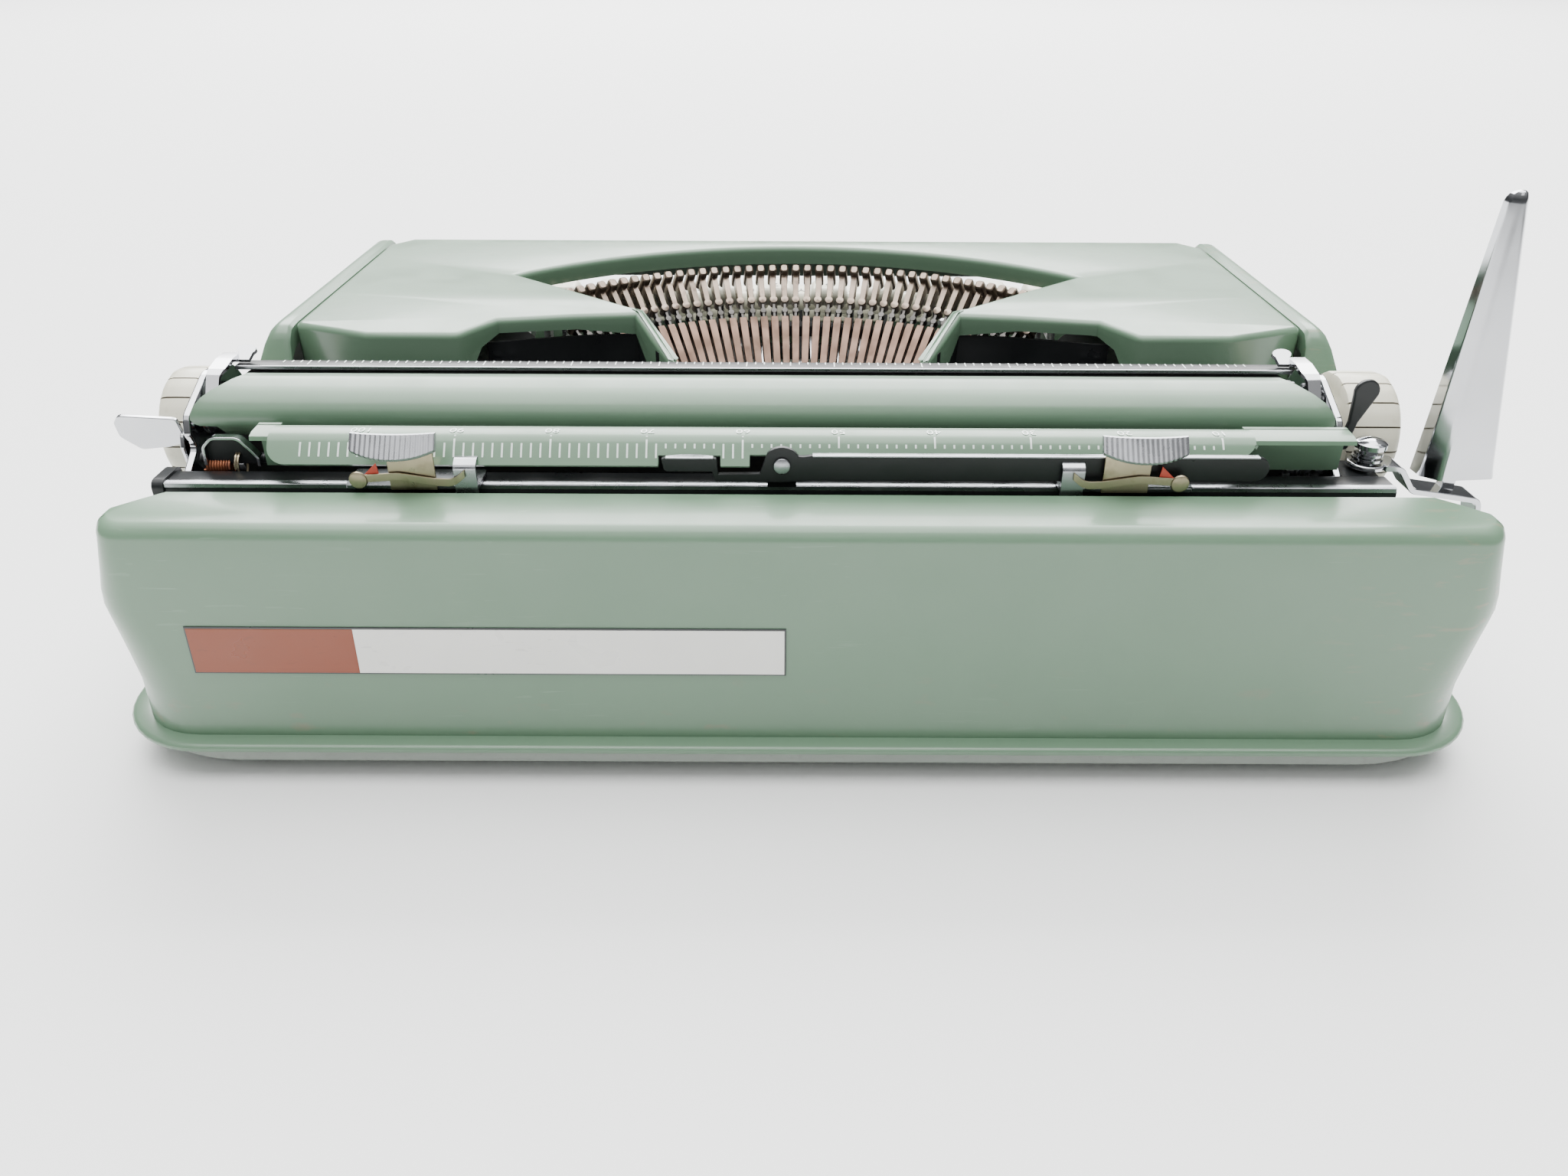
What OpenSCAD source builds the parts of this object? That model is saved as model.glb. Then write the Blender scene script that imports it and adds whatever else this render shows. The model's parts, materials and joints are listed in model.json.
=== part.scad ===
// Small flat portable typewriter, as an assembly of separate pieces.
// Frame: +X is the typist's right, the typist sits at -Y, the rear panel is at +Y, Z is up, floor at Z = 0.
// Every module draws in the machine's own frame (X = 0 on the body's centre line); on_floor() then
// moves the whole machine so that the origin is under the centre of its bounding box.

/* [Body] */
// Half width of the base flange
flange_hw = 158; // [154:0.5:162]
// Rear edge of the base flange
flange_back = 141; // [140:0.5:144]
// Front edge of the base flange
flange_front = -147; // [-150:0.5:-146]
// Height of the flange's top face, where the shell stands
flange_top = 10; // [9:0.5:11]
// Wall thickness of the painted shell
wall = 2.2; // [1.5:0.1:3]
// Rear wall, at its top edge
rear_y = 134; // [133:0.5:135]
// Height of the rear ledge
ledge_z = 61.4; // [60:0.2:62]
// Front edge of the rear ledge
ledge_y = 117; // [116.5:0.5:118]
// Height of the side walls under the carriage
trough_z = 38; // [34:1:40]
// Height of the ribbon cover's top
cover_z = 77.5; // [76:0.5:79]

/* [Cover] */
// Half width of the lift-off ribbon cover
cover_hw = 133; // [131:0.5:134]
// Rear edge of the cover, straight part
cover_back = 56; // [55:0.5:57]
// Front edge of the cover's top
cover_front = -44; // [-46:0.5:-42]
// Half width of the type basket opening
arch_hw = 85; // [80:1:88]
// Depth of the type basket arch
arch_sag = 35; // [30:1:38]

/* [Carriage] */
// Where the carriage's middle stands at rest, to the typist's right of the body's middle
park_x = 8.5; // [0:0.5:12]
// Height of the platen axis
platen_z = 61.5; // [61:0.5:62]
// Platen axis, front to back
platen_y = 79; // [78.5:0.5:80]
// Radius of the rubber platen
platen_r = 14; // [13:0.5:14.5]
// Radius of the platen knobs
knob_r = 14.5; // [13:0.5:15]
// Half length of the platen
platen_hl = 125; // [120:1:126]
// Width of one letter step, 12 to the inch
step_x = 2.117; // [2:0.001:2.2]

/* [Keyboard] */
// Distance between two keys of one row
key_pitch = 19; // [18.5:0.1:19]
// Width of a keytop
key_w = 13.6; // [12:0.1:14]
// Distance between two key rows
row_pitch = 18; // [17.5:0.1:18]
// Key lever axis, front to back
rod_y = 36; // [34:1:40]
// Key lever axis height
rod_z = 10.5; // [10:0.5:11]

/* [Typebars] */
// Number of typebars
bars = 44; // [40:1:44]
// Half angle of the fan of typebars
fan = 48; // [44:1:50]

/* [Hidden] */

$fn = 48;

// Colours
green = [0.63, 0.72, 0.64];
cream = [0.88, 0.87, 0.79];
black = [0.08, 0.09, 0.09];
chrome = [0.80, 0.81, 0.83];
steel = [0.60, 0.60, 0.62];
brass = [0.68, 0.58, 0.36];
rubber = [0.10, 0.10, 0.11];
rust = [0.66, 0.34, 0.20];
white = [0.94, 0.94, 0.91];

// Derived places
shift = [1.65, 3, 0];             // machine frame to record frame
rear_lean = tan(3);               // the rear wall leans out downwards
side_z = 42;                      // the sides lean in above this height
side_hw = 153;                    // half width of the shell below side_z
end_x = 131.5;                    // inner face of the carriage end plates
end_t = 1.8;                      // their thickness
bail_pivot = [92, 68];            // y, z
print_pt = [platen_y - platen_r - 0.5, 63];   // y, z where the type strikes
bar_pivot = [10.8, 24.1];         // y, z of the centre typebar's pivot
slug_at = [-38, 69];              // y, z of its type slug at rest
screw_at = [-140.4, 98.6];        // x, y of the return lever's pivot screw
hinge_at = [97, 59.5];            // y, z of the lever handle's fold
support_at = [-4.4, 66.9];        // x, z of the paper support's pivot
selector_y = 95.8;                // line space selector

module on_floor() { translate(shift) children(); }
module on_carriage() { translate([park_x, 0, 0]) children(); }

// An outline in Y and Z, drawn out along X from x0 to x1
module along_x(x0, x1) {
  translate([x0, 0, 0]) rotate([90, 0, 90]) linear_extrude(x1 - x0) children();
}
// An outline in X and Z, drawn out along Y from y0 to y1
module along_y(y0, y1) {
  translate([0, y1, 0]) rotate([90, 0, 0]) linear_extrude(y1 - y0) children();
}
module box(x0, x1, y0, y1, z0, z1) { translate([x0, y0, z0]) cube([x1 - x0, y1 - y0, z1 - z0]); }
module rod_x(x0, x1, y, z, r) { translate([x0, y, z]) rotate([0, 90, 0]) cylinder(r = r, h = x1 - x0); }
module rod_y(y0, y1, x, z, r) { translate([x, y0, z]) rotate([-90, 0, 0]) cylinder(r = r, h = y1 - y0); }

// Points of an arc, and a rounded rectangle made of four of them
function arc(c, r, a0, a1, n = 6) = [for (i = [0:n]) c + r * [cos(a0 + (a1 - a0) * i / n), sin(a0 + (a1 - a0) * i / n)]];
function round_rect(x0, x1, y0, y1, r) = concat(
  arc([x1 - r, y1 - r], r, 0, 90), arc([x0 + r, y1 - r], r, 90, 180),
  arc([x0 + r, y0 + r], r, 180, 270), arc([x1 - r, y0 + r], r, 270, 360));

// ---------------------------------------------------------------- base and shell

module base_tray() color(green) difference() {
  union() {
    translate([0, 0, flange_top - 2.2]) linear_extrude(2.2)
      polygon(round_rect(-flange_hw, flange_hw, flange_front, flange_back, 19));
    translate([0, 0, 4.5]) linear_extrude(flange_top - 5)
      polygon(round_rect(-flange_hw + 1.6, flange_hw - 1.6, flange_front + 1.6, flange_back - 1.6, 28));
  }
  translate([0, 0, 5.8]) linear_extrude(10)
    polygon(round_rect(-side_hw + 4, side_hw - 4, flange_front + 9, flange_back - 9, 12));
}

module rubber_feet() color(rubber)
  for (x = [-1, 1], y = [-118, 112]) translate([x * 126, y, 0]) {
    cylinder(r1 = 8.5, r2 = 9.5, h = 1.5);
    translate([0, 0, 1.5]) cylinder(r = 9.5, h = 3);
  }

// Side view of the shell, t inside its outer face
function shell_side(t) = concat(
  [[rear_y + (ledge_z - flange_top) * rear_lean - t, flange_top - 1],
   [rear_y + 4 * rear_lean - t, ledge_z - 4]],
  arc([rear_y - 4, ledge_z - 4], 4 - t, 10, 90, 4),
  [[ledge_y + t, ledge_z - t], [ledge_y + t, trough_z - t], [cover_back + 4 - t, trough_z - t],
   [cover_back + 1 - t, 70], [cover_back - 8, cover_z - t], [cover_front, cover_z - t],
   [cover_front - 9, cover_z - 13 - t], [-134 + t, 31 - t], [-140 + t, 26 - t], [-142 + t, flange_top - 1]]);

// Rear view of the shell, t inside its outer face
function shell_rear(t) = [
  [-side_hw + t, flange_top - 1], [-side_hw + t, side_z - t / 3], [-145 + t, ledge_z], [-139.5 + t, cover_z + 1],
  [139.5 - t, cover_z + 1], [145 - t, ledge_z], [side_hw - t, side_z - t / 3], [side_hw - t, flange_top - 1]];

module shell_form(t) intersection() {
  along_x(-160, 160) polygon(shell_side(t));
  along_y(-160, 160) polygon(shell_rear(t));
  union() {
    translate([0, 0, flange_top - 1]) linear_extrude(trough_z - flange_top + 1 - t)
      polygon(round_rect(-side_hw + t, side_hw - t, -142 + t, 136.8 - t, 14 - t));
    // above the trough the rear corners are cut off towards the ledge's front edge
    translate([0, 0, flange_top - 1]) linear_extrude(90) polygon(concat(
      [[-side_hw + t, -130], [-side_hw + t, 60], [-136 + t, 61], [-136 + t, ledge_y], [-147.5 + t, 128.5]],
      arc([-142 + t, 131.8 - t], 5, 180, 90), arc([142 - t, 131.8 - t], 5, 90, 0),
      [[147.5 - t, 128.5], [136 - t, ledge_y], [136 - t, 61], [side_hw - t, 60], [side_hw - t, -130],
       [side_hw - 14, -142 + t], [-side_hw + 14, -142 + t]]));
  }
}

module body_shell() color(green) difference() {
  intersection() {
    shell_form(0);
    translate([0, 0, flange_top]) linear_extrude(90) square(400, center = true);
  }
  shell_form(wall);
  box(-cover_hw - 0.5, cover_hw + 0.5, cover_front - 14, cover_back + 12, 60, 90);      // cover's seat
  box(-136, 136, -137.5, cover_front - 3, 12, 90);                                     // keyboard well
  box(-149, 149, cover_back - 2, ledge_y, trough_z - 8, 90);                           // way of the carriage
  // the side strips' rear ends turn forward like the cover's
  for (s = [-1, 1]) translate([s * 133, cover_back - 7.5, 62]) rotate([0, 0, s * -20])
    translate([-30, 0, 0]) cube([60, 20, 30]);
}

module label_plate() color(white)
  translate([0, rear_y + (ledge_z - 26.5) * rear_lean, 26.5]) rotate([3, 0, 0])
    box(3, 133, 0, 0.6, 0, 11.6);

// ---------------------------------------------------------------- inner frame

// Pressed plates, each its own solid, riveted face to face with a hair of room between them
plate_gap = 0.05;
side_plate_x = 131;
cross_hw = side_plate_x - plate_gap;

module side_plate(s) {
  along_x(s > 0 ? side_plate_x : -side_plate_x - 1.6, s > 0 ? side_plate_x + 1.6 : -side_plate_x) difference() {
    polygon([[-112, 5.8], [112, 5.8], [112, 34], [60, 34], [48, 60], [-30, 60], [-50, 40], [-112, 22]]);
    translate([rod_y, rod_z]) circle(r = 2.02);
    for (y = [-80, -35, 82]) translate([y, 16]) circle(r = 4);                   // lightening holes
  }
  box(s > 0 ? side_plate_x : -141, s > 0 ? 141 : -side_plate_x, -100, 100, 5.8, 7.4);   // foot flange
}

module chassis_frame() color(steel) {
  for (s = [-1, 1]) {
    side_plate(s);
    box(s > 0 ? 70 : -cross_hw, s > 0 ? cross_hw : -70, 4, 28, 38, 40);         // spool shelf
    translate([s * 103, 16, 39.9]) cylinder(r = 3, h = 24);                     // spool post
    box(s > 0 ? 34 : -40, s > 0 ? 40 : -34, 26, 50, 30 + plate_gap, 34);        // arm that holds the segment
    // plate that closes the space in front of the ribbon notch, on a shelf of its own
    box(s > 0 ? 70 : -88, s > 0 ? 88 : -70, 28 + plate_gap, 44, 38, 40);
    translate([0, 0, 40 + plate_gap]) linear_extrude(31)
      polygon([for (p = [[84, 42.8], [60, 36.8], [43.6, 34.8], [36.2, 51.2], [37, 51.2], [44.2, 35.7], [60, 37.6], [84, 43.6]])
        [s * p[0], p[1]]]);
  }
  box(-cross_hw, cross_hw, 57, 58.6, 5.8, 30);                                  // cross plate
  box(-40, 40, 50 + plate_gap, 57 - plate_gap, 24, 40);                         // segment bridge
  box(-cross_hw, cross_hw, 100, 101.6, 5.8, 24);                                // rear cross plate
  box(-cross_hw, cross_hw, -135.5, -132, 5.8, 12);                              // front bar
  box(-104, -92, 74, 76, 5.8, 32);                                              // drum bracket and stud
  rod_y(75.9, 93, -98, 24, 2.5);
  difference() {                                                                // escapement bracket
    box(park_x - 5, park_x + 5, 96.5, 98.5, 5.8, 43);
    rod_y(96, 99, park_x, 39.4, 1.56);
  }
}

module carriage_track() color(steel) {
  box(-125, 125, 106.2, 109.8, 44, 58);
  for (s = [-1, 1]) box(s * 108 - 6, s * 108 + 6, 106.2, 109.8, 5.8, 44.1);
}

module key_pivot_rod() color(steel) rod_x(-134, 134, rod_y, rod_z, 2);

// In plan, the typebars stand round the print point; a child is drawn for the centre bar and turned
module round_print(a) { translate([0, print_pt[0], 0]) rotate([0, 0, a]) translate([0, -print_pt[0], 0]) children(); }
mid_bar = floor(bars / 2);
function bar_angle(i) = 2 * fan * (i - mid_bar) / (bars - 1);
bar_dir = atan2(slug_at[1] - bar_pivot[1], slug_at[0] - bar_pivot[0]);   // in the YZ plane
bar_len = norm(slug_at - bar_pivot);

module ring_sector(r0, r1, a, z0, z1) translate([0, print_pt[0], z0]) linear_extrude(z1 - z0)
  polygon(concat(arc([0, 0], r1, 270 - a, 270 + a, 24), arc([0, 0], r0, 270 + a, 270 - a, 24)));

module typebar_segment() color(steel) difference() {
  ring_sector(46, 61, fan + 6, 19, 30);
  for (i = [0:bars - 1]) round_print(bar_angle(i))
    box(i == mid_bar ? -1 : -0.65, i == mid_bar ? 1 : 0.65, print_pt[0] - 61.5, print_pt[0] - 48, 18, 31);
  box(-1, 1, print_pt[0] - 48.5, print_pt[0] - 45, 25, 31);   // lets the centre bar lie down on the print point
}

// One typebar, along +Y of a frame whose origin is the pivot and whose axis is X
module typebar(l) {
  along_x(-0.6, 0.6) polygon([[-3, -3], [4, -2.4], [l - 6, -1.6], [l - 2, -2.5], [l - 2, 2.5], [l - 6, 1.6], [4, 2.2], [-3, 2.4]]);
  box(-1.7, 1.7, l - 3.4, l, -4.5, 4.5);
}
module bar_at_rest() translate([0, bar_pivot[0], bar_pivot[1]]) rotate([bar_dir, 0, 0]) typebar(bar_len);

module typebar_set() color([0.72, 0.62, 0.54])
  for (i = [0:bars - 1]) if (i != mid_bar) round_print(bar_angle(i)) bar_at_rest();

module typebar_center() color([0.72, 0.62, 0.54]) {
  bar_at_rest();
  rod_x(-0.9, 0.9, bar_pivot[0], bar_pivot[1], 1.6);
}

module typebar_rest() color(rubber) {
  ring_sector(90, 95, fan + 4, 50.5, 54.2);
  for (a = [-38, 38]) round_print(a) box(-4, 4, print_pt[0] - 95, print_pt[0] - 92, 40, 50.5);
  for (s = [-1, 1]) along_y(3, 6) polygon([[s * 52, 40], [s * 131, 40], [s * 131, 43], [s * 60, 43]]);
}

module type_guide() color(chrome) {
  for (s = [-1, 1]) box(s > 0 ? 3.4 : -5.4, s > 0 ? 5.4 : -3.4, 57.5, 61, 40, 56);
  box(-5.4, 5.4, 57.5, 61, 36, 40);
}

module ribbon_guide_posts() color(chrome) for (s = [-1, 1]) {
  translate([s * 79, 46, 30]) cylinder(r = 1.8, h = 31);
  box(s * 79 - 3, s * 79 + 3, 44.6, 47.4, 60, 67);
  box(s * 79 - 3, s * 79 + 3, 46, 57, 28, 30);
}

module card_holder() color(chrome) difference() {
  union() {
    box(-16, 16, 61.6, 62.4, 52, 63);
    for (s = [-1, 1]) box(s > 0 ? 5 : -9, s > 0 ? 9 : -5, 61.6, 62.4, 62.9, 71);
    for (s = [-1, 1]) box(s > 0 ? 8 : -12, s > 0 ? 12 : -8, 59, 62, 28, 52.5);
  }
  box(-3.2, 3.2, 60, 64, 57, 64);
}

// The inked ribbon: reel, guide post, card holder, guide post, reel
module strap(a, b, z0, z1, t = 0.5) {
  d = b - a;
  translate([a[0], a[1], z0]) rotate([0, 0, atan2(d[1], d[0])]) translate([0, -t / 2, 0]) cube([norm(d), t, z1 - z0]);
}
module ribbon() color([0.07, 0.07, 0.09]) for (s = [-1, 1]) {
  strap([s * 103, 42.6], [s * 81, 49.2], 46, 58);
  strap([s * 81, 49.2], [s * 16, 56.4], 46, 58);
  strap([s * 16, 56.4], [0, 56.4], 46, 58);
}

module bell() color(brass) {
  translate([-60, 84, 14]) difference() {
    sphere(r = 13);
    sphere(r = 11.8);
    translate([-20, -20, -20]) cube([40, 40, 20]);
  }
  translate([-60, 84, 5.8]) cylinder(r = 1.5, h = 20.5);
}

// ---------------------------------------------------------------- ribbon cover

arch_r = (arch_hw * arch_hw + arch_sag * arch_sag) / (2 * arch_sag);
// Plan of one half of the cover's top: outer rim, rear notch, tongue, and the type basket's arch
function cover_half(s) = concat(
  [[0, cover_front], [s * (cover_hw - 6), cover_front], [s * cover_hw, cover_front + 8], [s * cover_hw, cover_back - 8],
   [s * 112, cover_back], [s * 88, cover_back], [s * 81, cover_back - 14], [s * 42, cover_back - 20.5]],
  [for (p = arc([0, arch_r - arch_sag], arch_r, 270 + s * asin(arch_hw / arch_r), 270, 16)) p]);

module cover_wall(s) {
  // rear faces, outer turned a little forward, then the sides of the notch
  h = 15;
  strap([s * cover_hw, cover_back - 8.8], [s * 112, cover_back - 0.8], cover_z - h, cover_z - 1.4, 1.6);
  strap([s * 112, cover_back - 0.8], [s * 88, cover_back - 0.8], cover_z - h, cover_z - 1.4, 1.6);
  strap([s * 88.4, cover_back - 0.8], [s * 81.4, cover_back - 14.6], cover_z - 5, cover_z - 1.4, 1.6);
  strap([s * 81.4, cover_back - 14.6], [s * 42.5, cover_back - 21.2], cover_z - 4, cover_z - 1.4, 1.6);
  // fin beside the middle opening, back towards the ribbon
  strap([s * 42.2, cover_back - 21.2], [s * 31.6, cover_back + 1.8], cover_z - 12, cover_z - 1.4, 1.6);
}

module ribbon_cover() color(green) {
  for (s = [-1, 1]) {
    translate([0, 0, cover_z - 2]) linear_extrude(2) polygon(cover_half(s));
    cover_wall(s);
    box(s > 0 ? cover_hw - 1.6 : -cover_hw, s > 0 ? cover_hw : 1.6 - cover_hw, cover_front + 8, cover_back - 9, cover_z - 8, cover_z - 1);
  }
  along_x(-cover_hw + 6, cover_hw - 6)
    polygon([[cover_front, cover_z], [cover_front - 8.5, cover_z - 13], [cover_front - 7, cover_z - 14], [cover_front + 1.6, cover_z - 1.5]]);
  // raised rim round the arch
  translate([0, 0, cover_z - 4]) linear_extrude(2.5) polygon(concat(
    arc([0, arch_r - arch_sag], arch_r, 270 - asin(arch_hw / arch_r) + 3, 270 + asin(arch_hw / arch_r) - 3, 24),
    arc([0, arch_r - arch_sag], arch_r + 1.8, 270 + asin(arch_hw / arch_r) - 3, 270 - asin(arch_hw / arch_r) + 3, 24)));
}

module spool(s) color(black) translate([s * 103, 16, 0]) difference() {
  union() {
    translate([0, 0, 44]) cylinder(r = 26, h = 1);
    translate([0, 0, 59]) cylinder(r = 26, h = 1);
    translate([0, 0, 45]) cylinder(r = s > 0 ? 23 : 14, h = 14);
  }
  translate([0, 0, 40]) cylinder(r = 3.06, h = 24);
  for (a = [0:60:300]) rotate([0, 0, a]) translate([s > 0 ? 24.6 : 20, 0, 58]) cylinder(r = s > 0 ? 1 : 3.4, h = 3);
}
module ribbon_spool_left() spool(-1);
module ribbon_spool_right() spool(1);

module ribbon_vibrator() color(chrome) {
  for (s = [-1, 1]) box(s > 0 ? 10 : -12, s > 0 ? 12 : -10, 53.8, 55.2, 44, 60);
  box(-12, 12, 53.8, 55.2, 41, 44);
  for (s = [-1, 1]) box(s > 0 ? 9.2 : -13, s > 0 ? 13 : -9.2, 57.6 - 3.8, 57.2, 59.4, 60.4);
}

// ---------------------------------------------------------------- keys

// Rows from the number row to the space bar: first key's x, number of keys, y, top of keytop
rows = [
  [-107, 12, -62, 58],
  [-97.5, 11, -62 - row_pitch, 51],
  [-92.75, 11, -62 - 2 * row_pitch, 44],
  [-83.25, 10, -62 - 3 * row_pitch, 37]];
center_col = 5;           // the key of the home row that has its own lever and typebar
lever_slope = [0.135, 0.115, 0.10, 0.09];

module keytop(x, y, z, w = key_w) translate([x, y, z - 6]) {
  linear_extrude(4.4) polygon(round_rect(-w / 2, w / 2, -7, 7, 3));
  translate([0, 0, 4.4]) linear_extrude(1.6) polygon(round_rect(-w / 2 + 1, w / 2 - 1, -6, 6, 3));
}

// A flat lever from the pivot rod forward to y, with a stem up to the keytop
module key_lever(x, y, z, s) color(steel) difference() {
  along_x(x - 0.7, x + 0.7) polygon([
    [rod_y + 4, rod_z - 3], [rod_y + 4, rod_z + 3], [rod_y - 4, rod_z + 3],
    [y + 3, rod_z + 1 + s * (rod_y - y)], [y + 3, z - 5.9], [y - 3, z - 5.9], [y - 3, rod_z - 3 + s * (rod_y - y)]]);
  rod_x(x - 1, x + 1, rod_y, rod_z, 2.06);
}

module key_row(r) color(cream)
  for (i = [0:rows[r][1] - 1]) if (!(r == 2 && i == center_col)) keytop(rows[r][0] + key_pitch * i, rows[r][2], rows[r][3]);
module lever_row(r)
  for (i = [0:rows[r][1] - 1]) if (!(r == 2 && i == center_col)) key_lever(rows[r][0] + key_pitch * i, rows[r][2], rows[r][3], lever_slope[r]);

module keys_number_row() key_row(0);
module keys_upper_row() key_row(1);
module keys_home_row() key_row(2);
module keys_lower_row() key_row(3);
module levers_number_row() lever_row(0);
module levers_upper_row() lever_row(1);
module levers_home_row() lever_row(2);
module levers_lower_row() lever_row(3);

// A key with its lever in one piece
module whole_key(x, r, w = key_w, dx = 0) {
  key_lever(x, rows[r][2], rows[r][3], lever_slope[r]);
  color(cream) keytop(x + dx, rows[r][2], rows[r][3], w);
}
module center_key() whole_key(rows[2][0] + key_pitch * center_col, 2);
module shift_lock_key() whole_key(rows[2][0] - key_pitch, 2);
module backspace_key() whole_key(rows[0][0] + 12 * key_pitch, 0);
module margin_release_key() whole_key(rows[0][0] - key_pitch, 0);

module shift_keys() {
  whole_key(rows[3][0] - key_pitch, 3, 20, -3);
  whole_key(rows[3][0] + 10 * key_pitch, 3, 20, 3);
  // cross shaft that joins the two levers, under the spacing of the others
  color(steel) for (x = [rows[3][0] - key_pitch, rows[3][0] + 10 * key_pitch])
    box(x - 0.7, x + 0.7, rod_y + 3.9, rod_y + 12, rod_z - 2, rod_z + 2);
  color(steel) box(rows[3][0] - key_pitch - 0.7, rows[3][0] + 10 * key_pitch + 0.7, rod_y + 11, rod_y + 14, rod_z - 2, rod_z + 2);
}

module space_bar() {
  color(cream) translate([0, -131.5, 24]) {
    linear_extrude(5) polygon(round_rect(-62, 62, -5, 5, 3));
    translate([0, 0, 5]) linear_extrude(1.6) polygon(round_rect(-61, 61, -4, 4, 3));
  }
  for (s = [-1, 1]) {
    color(steel) difference() {
      along_x(s * 66.5 - 0.7, s * 66.5 + 0.7) polygon([
        [rod_y + 4, rod_z - 3], [rod_y + 4, rod_z + 3], [rod_y - 4, rod_z + 3], [-104, 17.2], [-125, 17.2], [-127.5, 19.6],
        [-129, 24], [-134, 24], [-134, 20.8], [-131.2, 19], [-129, 13.4], [-104, 13.2]]);
      rod_x(s * 66.5 - 1, s * 66.5 + 1, rod_y, rod_z, 2.06);
    }
    color(steel) box(s > 0 ? 55 : -67.2, s > 0 ? 67.2 : -55, -134, -129, 22, 24);
  }
}

module ribbon_selector() color(black) {
  along_x(115.5, 117) polygon([[-79, 24], [-75, 24], [-76, 58], [-79, 58]]);
  box(113.5, 119, -80.5, -75, 54, 61);
  rod_x(113.5, 119, -77, 26, 3);
}

// ---------------------------------------------------------------- drive of the carriage

module mainspring_drum() color(steel) difference() {
  union() {
    rod_y(79, 91, -98, 24, 13.4);
    rod_y(89.8, 91.5, -98, 24, 14.4);
    rod_y(78, 79.7, -98, 24, 14.4);
  }
  rod_y(70, 95, -98, 24, 2.56);
}
module escapement_wheel() color(brass) {
  rod_y(99.5, 103.4, park_x, 39.4, 6);
  difference() {
    rod_y(94, 95.5, park_x, 39.4, 10);
    for (a = [0:30:330]) translate([park_x, 0, 39.4]) rotate([0, a, 0]) box(8.4, 11, 93, 97, -0.8, 0.8);
  }
  rod_y(93, 104.6, park_x, 39.4, 1.5);
}

// ---------------------------------------------------------------- carriage

module carriage_channel() color(black) on_carriage() {
  difference() {
    box(-142, 135, 104, 112, 50, 61);
    box(-143, 136, 105.2, 110.8, 49, 59.5);
  }
  box(133.4, 136.5, 111, 112.6, 52, 61.8);               // end bracket, open where the track runs
  box(133.4, 136.5, 103, 112.6, 60.4, 61.8);
  box(133.4, 136.5, 103, 104.4, 52, 61.8);
  box(-142, -133.4, 94, 104.5, 58.2, 60);                // seat of the lever's pivot screw
  box(support_at[0] - 3.2, support_at[0] + 3.2, 111.2, 112.05, 60.5, 68.15);   // bracket of the paper support
  rod_y(112, 114.2, support_at[0], support_at[1], 1.2);
}

// Side view of an end plate
function end_outline() = [[62, 43], [64, 64], [72, 75], [84, 77.5], [98, 71], [99.5, 67], [98, 64.5], [104, 60], [104, 50.5], [96, 43]];
module end_plate(s) color(chrome) on_carriage() difference() {
  along_x(s > 0 ? end_x : -end_x - end_t, s > 0 ? end_x + end_t : -end_x) polygon(end_outline());
  for (c = [[platen_y, platen_z, 3.06], [72, 45.2 + 0.9, 1.56], [86, 45.2 + 0.9, 1.56]])
    rod_x(s > 0 ? end_x - 1 : -end_x - 3, s > 0 ? end_x + 3 : -end_x + 1, c[0], c[1], c[2]);
}
module carriage_end_left() end_plate(-1);
module carriage_end_right() end_plate(1);

module escapement_rack() color(steel) on_carriage() difference() {
  box(-118, 118, 100.2, 104, 46, 52);
  // one tooth for each letter step
  for (i = [-54:54]) translate([i * step_x, 0, 46]) along_y(99, 102) polygon([[-0.7, -0.1], [0.7, -0.1], [0, 1.3]]);
}

module paper_table() color(green) on_carriage() difference() {
  along_x(-129, 129) polygon([[85.2, 76.6], [87, 78.3], [95, 76.8], [98.6, 74.4], [99.8, 71], [99.2, 67.5], [97, 65.4], [95, 64.8],
    [95, 66.2], [96.4, 66.9], [97.8, 68.3], [98.3, 71], [97.4, 73.4], [94.4, 75.4], [87.4, 76.9]]);
  for (s = [-1, 1]) {
    translate([s * 122.5, 84, 60]) rotate([0, 0, s * -33]) box(s > 0 ? 0 : -20, s > 0 ? 20 : 0, -20, 30, 0, 30);
    box(s > 0 ? 124 : -131, s > 0 ? 131 : -124, 84, 102, 60, 69.5);
  }
}

module margin_scale() color(green) on_carriage() difference() {
  union() {
    along_x(-109, 109) polygon([[114.2, 66.6], [109.6, 71.6], [104.4, 72.6], [104.2, 71.4], [109, 70.4], [113.2, 65.8]]);
    box(-end_x, -108, 103, 104.4, 62, 72.4);
    box(108, 113.4, 102.8, 104, 58, 72.4);
    along_x(-end_x, -112) polygon([[104, 71.2], [104, 72.6], [109, 71.6], [109, 70.2]]);
  }
  box(9.1, 22.8, 110.8, 116, 60, 69.2);                  // finger notch for the paper support
  box(-110, 2.7, 112, 116, 60, 69.2);                    // cut back over the paper support
  box(support_at[0] - 3.4, support_at[0] + 3.4, 111.1, 112.2, 60, 68.3);   // room for its bracket
}

module lever_pivot_screw() color(chrome) on_carriage() translate([screw_at[0], screw_at[1], 0]) {
  translate([0, 0, 60]) cylinder(r = 2, h = 6);
  difference() {
    intersection() {
      translate([0, 0, 65.5]) cylinder(r = 3.6, h = 3);
      translate([0, 0, 61.7]) sphere(r = 6.1);
    }
    translate([-5, -0.5, 66.9]) cube([10, 1, 2]);
  }
  difference() { translate([0, 0, 62.6]) cylinder(r = 3.4, h = 0.6); translate([0, 0, 62]) cylinder(r = 1.9, h = 2); }
  difference() { translate([0, 0, 63.8]) cylinder(r = 3.2, h = 0.6); translate([0, 0, 63]) cylinder(r = 1.9, h = 2); }
}

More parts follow.
